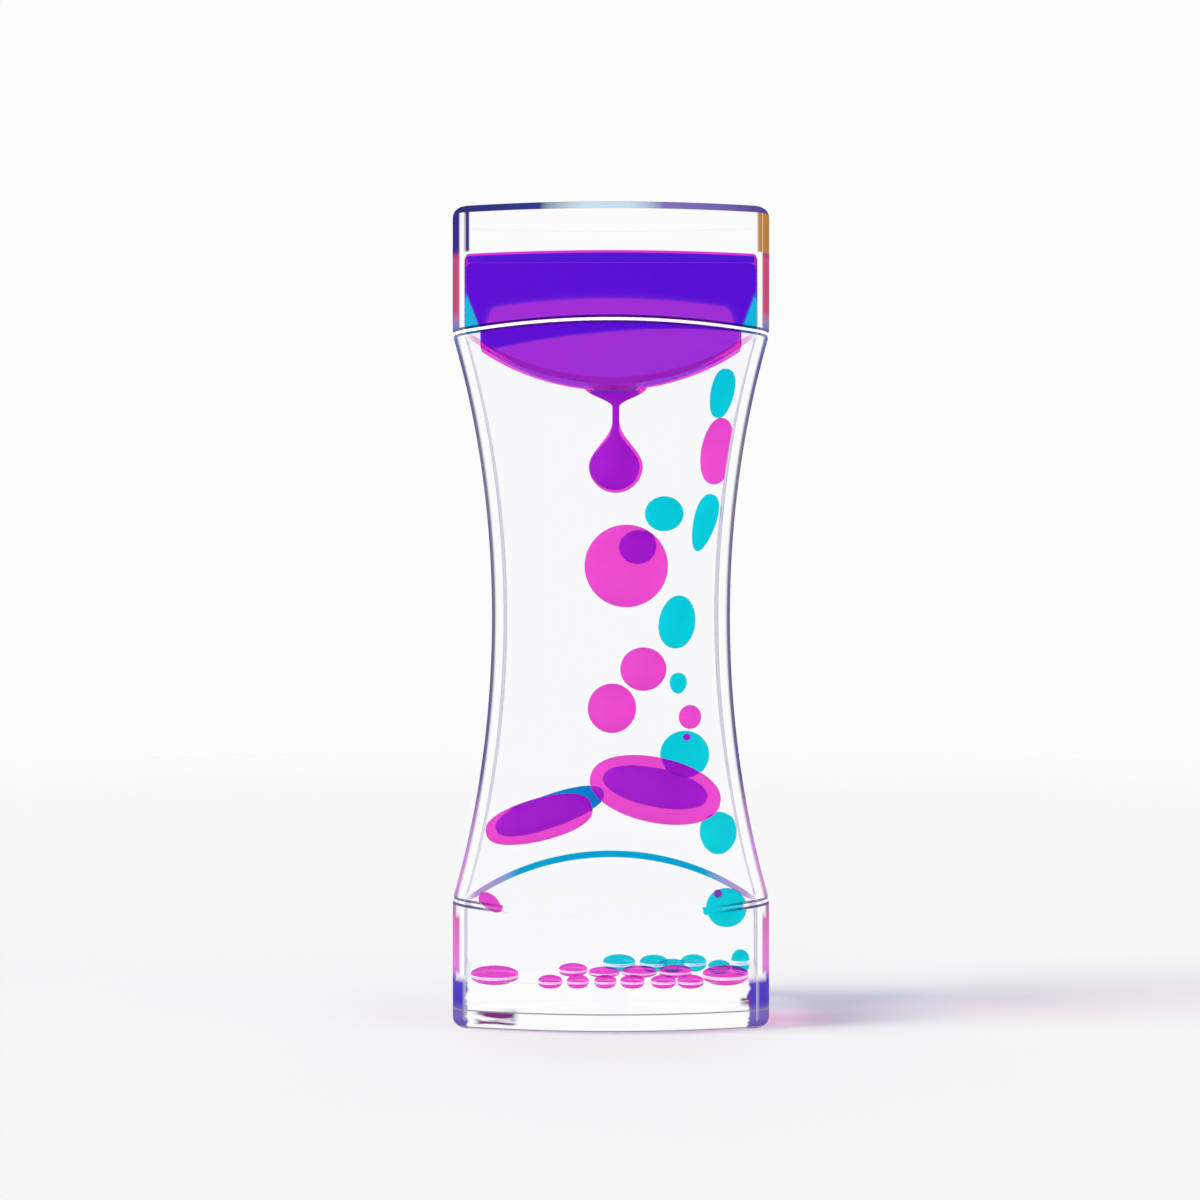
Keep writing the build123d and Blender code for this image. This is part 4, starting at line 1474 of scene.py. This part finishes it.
# %% World
WHITE = (0.975, 0.975, 0.975)
HORIZON_LIGHT = 2.2
ZENITH_LIGHT = 0.2
HORIZON_STEP = (0.25, 0.45)
PANELS = 8.0
PANEL_EDGE = -0.8
PANEL_TOP = 0.75
PANEL_COLOUR = (0.02, 0.015, 0.09)
ROOM_COLOUR = (0.10, 0.09, 0.22)


def backdrop(tree, colour, strength=1.0):
    """Background shader of one colour."""
    return add(tree, "Background", {"Color": colour, "Strength": strength}).outputs[0]


def studio_world():
    """White world with narrow dark panels that only bent light can see."""
    world = bpy.data.worlds.new("studio")
    bpy.context.scene.world = world
    world.use_nodes = True
    tree = world.node_tree
    tree.nodes.clear()
    way = add(tree, "TexCoord").outputs["Generated"]
    x, y, z = add(tree, "SeparateXYZ", {0: way}).outputs
    wave = maths("COSINE", times(maths("ARCTAN2", x, y), PANELS))
    panel = times(maths("LESS_THAN", wave, PANEL_EDGE), maths("LESS_THAN", z, PANEL_TOP))
    bent = backdrop(tree, blend(panel, WHITE, PANEL_COLOUR))
    rise = soft_step(unsigned(z), *HORIZON_STEP)
    light = plus(times(rise, ZENITH_LIGHT - HORIZON_LIGHT), HORIZON_LIGHT)
    path = add(tree, "LightPath").outputs
    shown = backdrop(tree, (1.0, 1.0, 1.0), light)
    shown = choose(path["Is Glossy Ray"], shown, backdrop(tree, ROOM_COLOUR))
    shown = choose(path["Is Transmission Ray"], shown, bent)
    shown = choose(path["Is Camera Ray"], shown, backdrop(tree, WHITE))
    add(tree, "OutputWorld", {"Surface": shown})


studio_world()
print("world", bpy.context.scene.world.name)

# %% [markdown]
# ## Floor
# The floor is a white disc that fades into the background; a large plane would end in a line. Seen
# through the clear body it is one plain colour, because scattered light would make the base grainy.

# %% Floor
FLOOR_RADIUS = 0.9
FLOOR_SIDES = 96
FLOOR_FADE = (0.2, 0.8)
FLOOR_COLOUR = (0.975, 0.975, 0.98)
FLOOR_SHADE = (0.965, 0.965, 0.97)
FLOOR_ROUGHNESS = 0.9
FLOOR_SHEEN = 0.1
FLOOR_WAVES = 14.0
GRAIN_STEP = (0.2, 0.8)


def studio_floor():
    """White disc under the timer, clear towards its edge."""
    bpy.ops.mesh.primitive_circle_add(vertices=FLOOR_SIDES, radius=FLOOR_RADIUS, fill_type="NGON")
    disc = bpy.context.object
    disc.name = "studio_floor"
    finish = bpy.data.materials.new("studio_floor")
    finish.use_nodes = True
    tree = finish.node_tree
    shader = tree.nodes["Principled BSDF"]
    feed(shader.inputs["Roughness"], FLOOR_ROUGHNESS)
    feed(shader.inputs["Specular IOR Level"], FLOOR_SHEEN)
    ripple = use_group(tree, moulded_ripple, wave_size=FLOOR_WAVES)
    grain = soft_step(ripple["Height"], *GRAIN_STEP)
    feed(shader.inputs["Base Color"], blend(grain, FLOOR_COLOUR, FLOOR_SHADE))
    place_out = add(tree, "TexCoord").outputs["Object"]
    length = add(tree, "VectorMath", {0: place_out}, operation="LENGTH")
    feed(shader.inputs["Alpha"], opposite(soft_step(length.outputs["Value"], *FLOOR_FADE)))
    plain = add(tree, "Emission", {"Color": FLOOR_COLOUR})
    through = add(tree, "LightPath").outputs["Is Transmission Ray"]
    shown = choose(through, shader.outputs[0], plain.outputs[0])
    feed(tree.nodes["Material Output"].inputs["Surface"], shown)
    disc.data.materials.append(finish)
    return disc


print("floor of", len(studio_floor().data.vertices), "sides")

# %% [markdown]
# ## Lamps
# A soft lamp on the left gives the coloured shadow to the right, and a weak one opposite fills it. Area
# lamps would show as bright shapes in the clear walls; suns hidden from bent and mirrored rays do not.

# %% Lamps
LAMPS = {
    "key_sun": (-78.0, 24.0, 3.6, 22.0),
    "far_sun": (75.0, 30.0, 0.35, 30.0),
}


def sun_lamp(name, turn, rise, strength, softness):
    """Soft sun from a turn about the timer and a rise above the floor, in degrees."""
    data = bpy.data.lights.new(name, "SUN")
    data.energy = strength
    data.angle = radians(softness)
    sun = bpy.data.objects.new(name, data)
    bpy.context.collection.objects.link(sun)
    turn, rise = radians(turn), radians(rise)
    away = Vector((cos(rise) * sin(turn), -cos(rise) * cos(turn), sin(rise)))
    sun.rotation_euler = away.to_track_quat("Z", "Y").to_euler()
    sun.visible_transmission = False
    sun.visible_glossy = False


for name, values in LAMPS.items():
    sun_lamp(name, *values)
print("lamps:", ", ".join(LAMPS))

# %% [markdown]
# ## Camera
# The camera looks straight at the front, as in the photo, and level, so that upright edges stay
# parallel. Light passes many clear surfaces on its way, so rays may bend often before they are given up.

# %% Camera
LENS = 55.7
SENSOR = 36.0
NEAREST = 0.01
CAMERA_PLACE = (-0.0020, -0.350, 0.0781)
BOUNCES = 32
VEIL_BOUNCES = 48
MIRROR_BOUNCES = 8
camera_data = bpy.data.cameras.new("camera")
camera_data.lens = LENS
camera_data.sensor_width = SENSOR
camera_data.clip_start = NEAREST
camera = bpy.data.objects.new("camera", camera_data)
bpy.context.collection.objects.link(camera)
camera.location = CAMERA_PLACE
camera.rotation_euler = (pi / 2, 0, 0)

scene = bpy.context.scene
scene.camera = camera
scene.view_settings.view_transform = "Standard"
scene.cycles.max_bounces = BOUNCES
scene.cycles.transmission_bounces = BOUNCES
scene.cycles.transparent_max_bounces = VEIL_BOUNCES
scene.cycles.glossy_bounces = MIRROR_BOUNCES
print("camera at", tuple(round(v, 4) for v in camera.location))
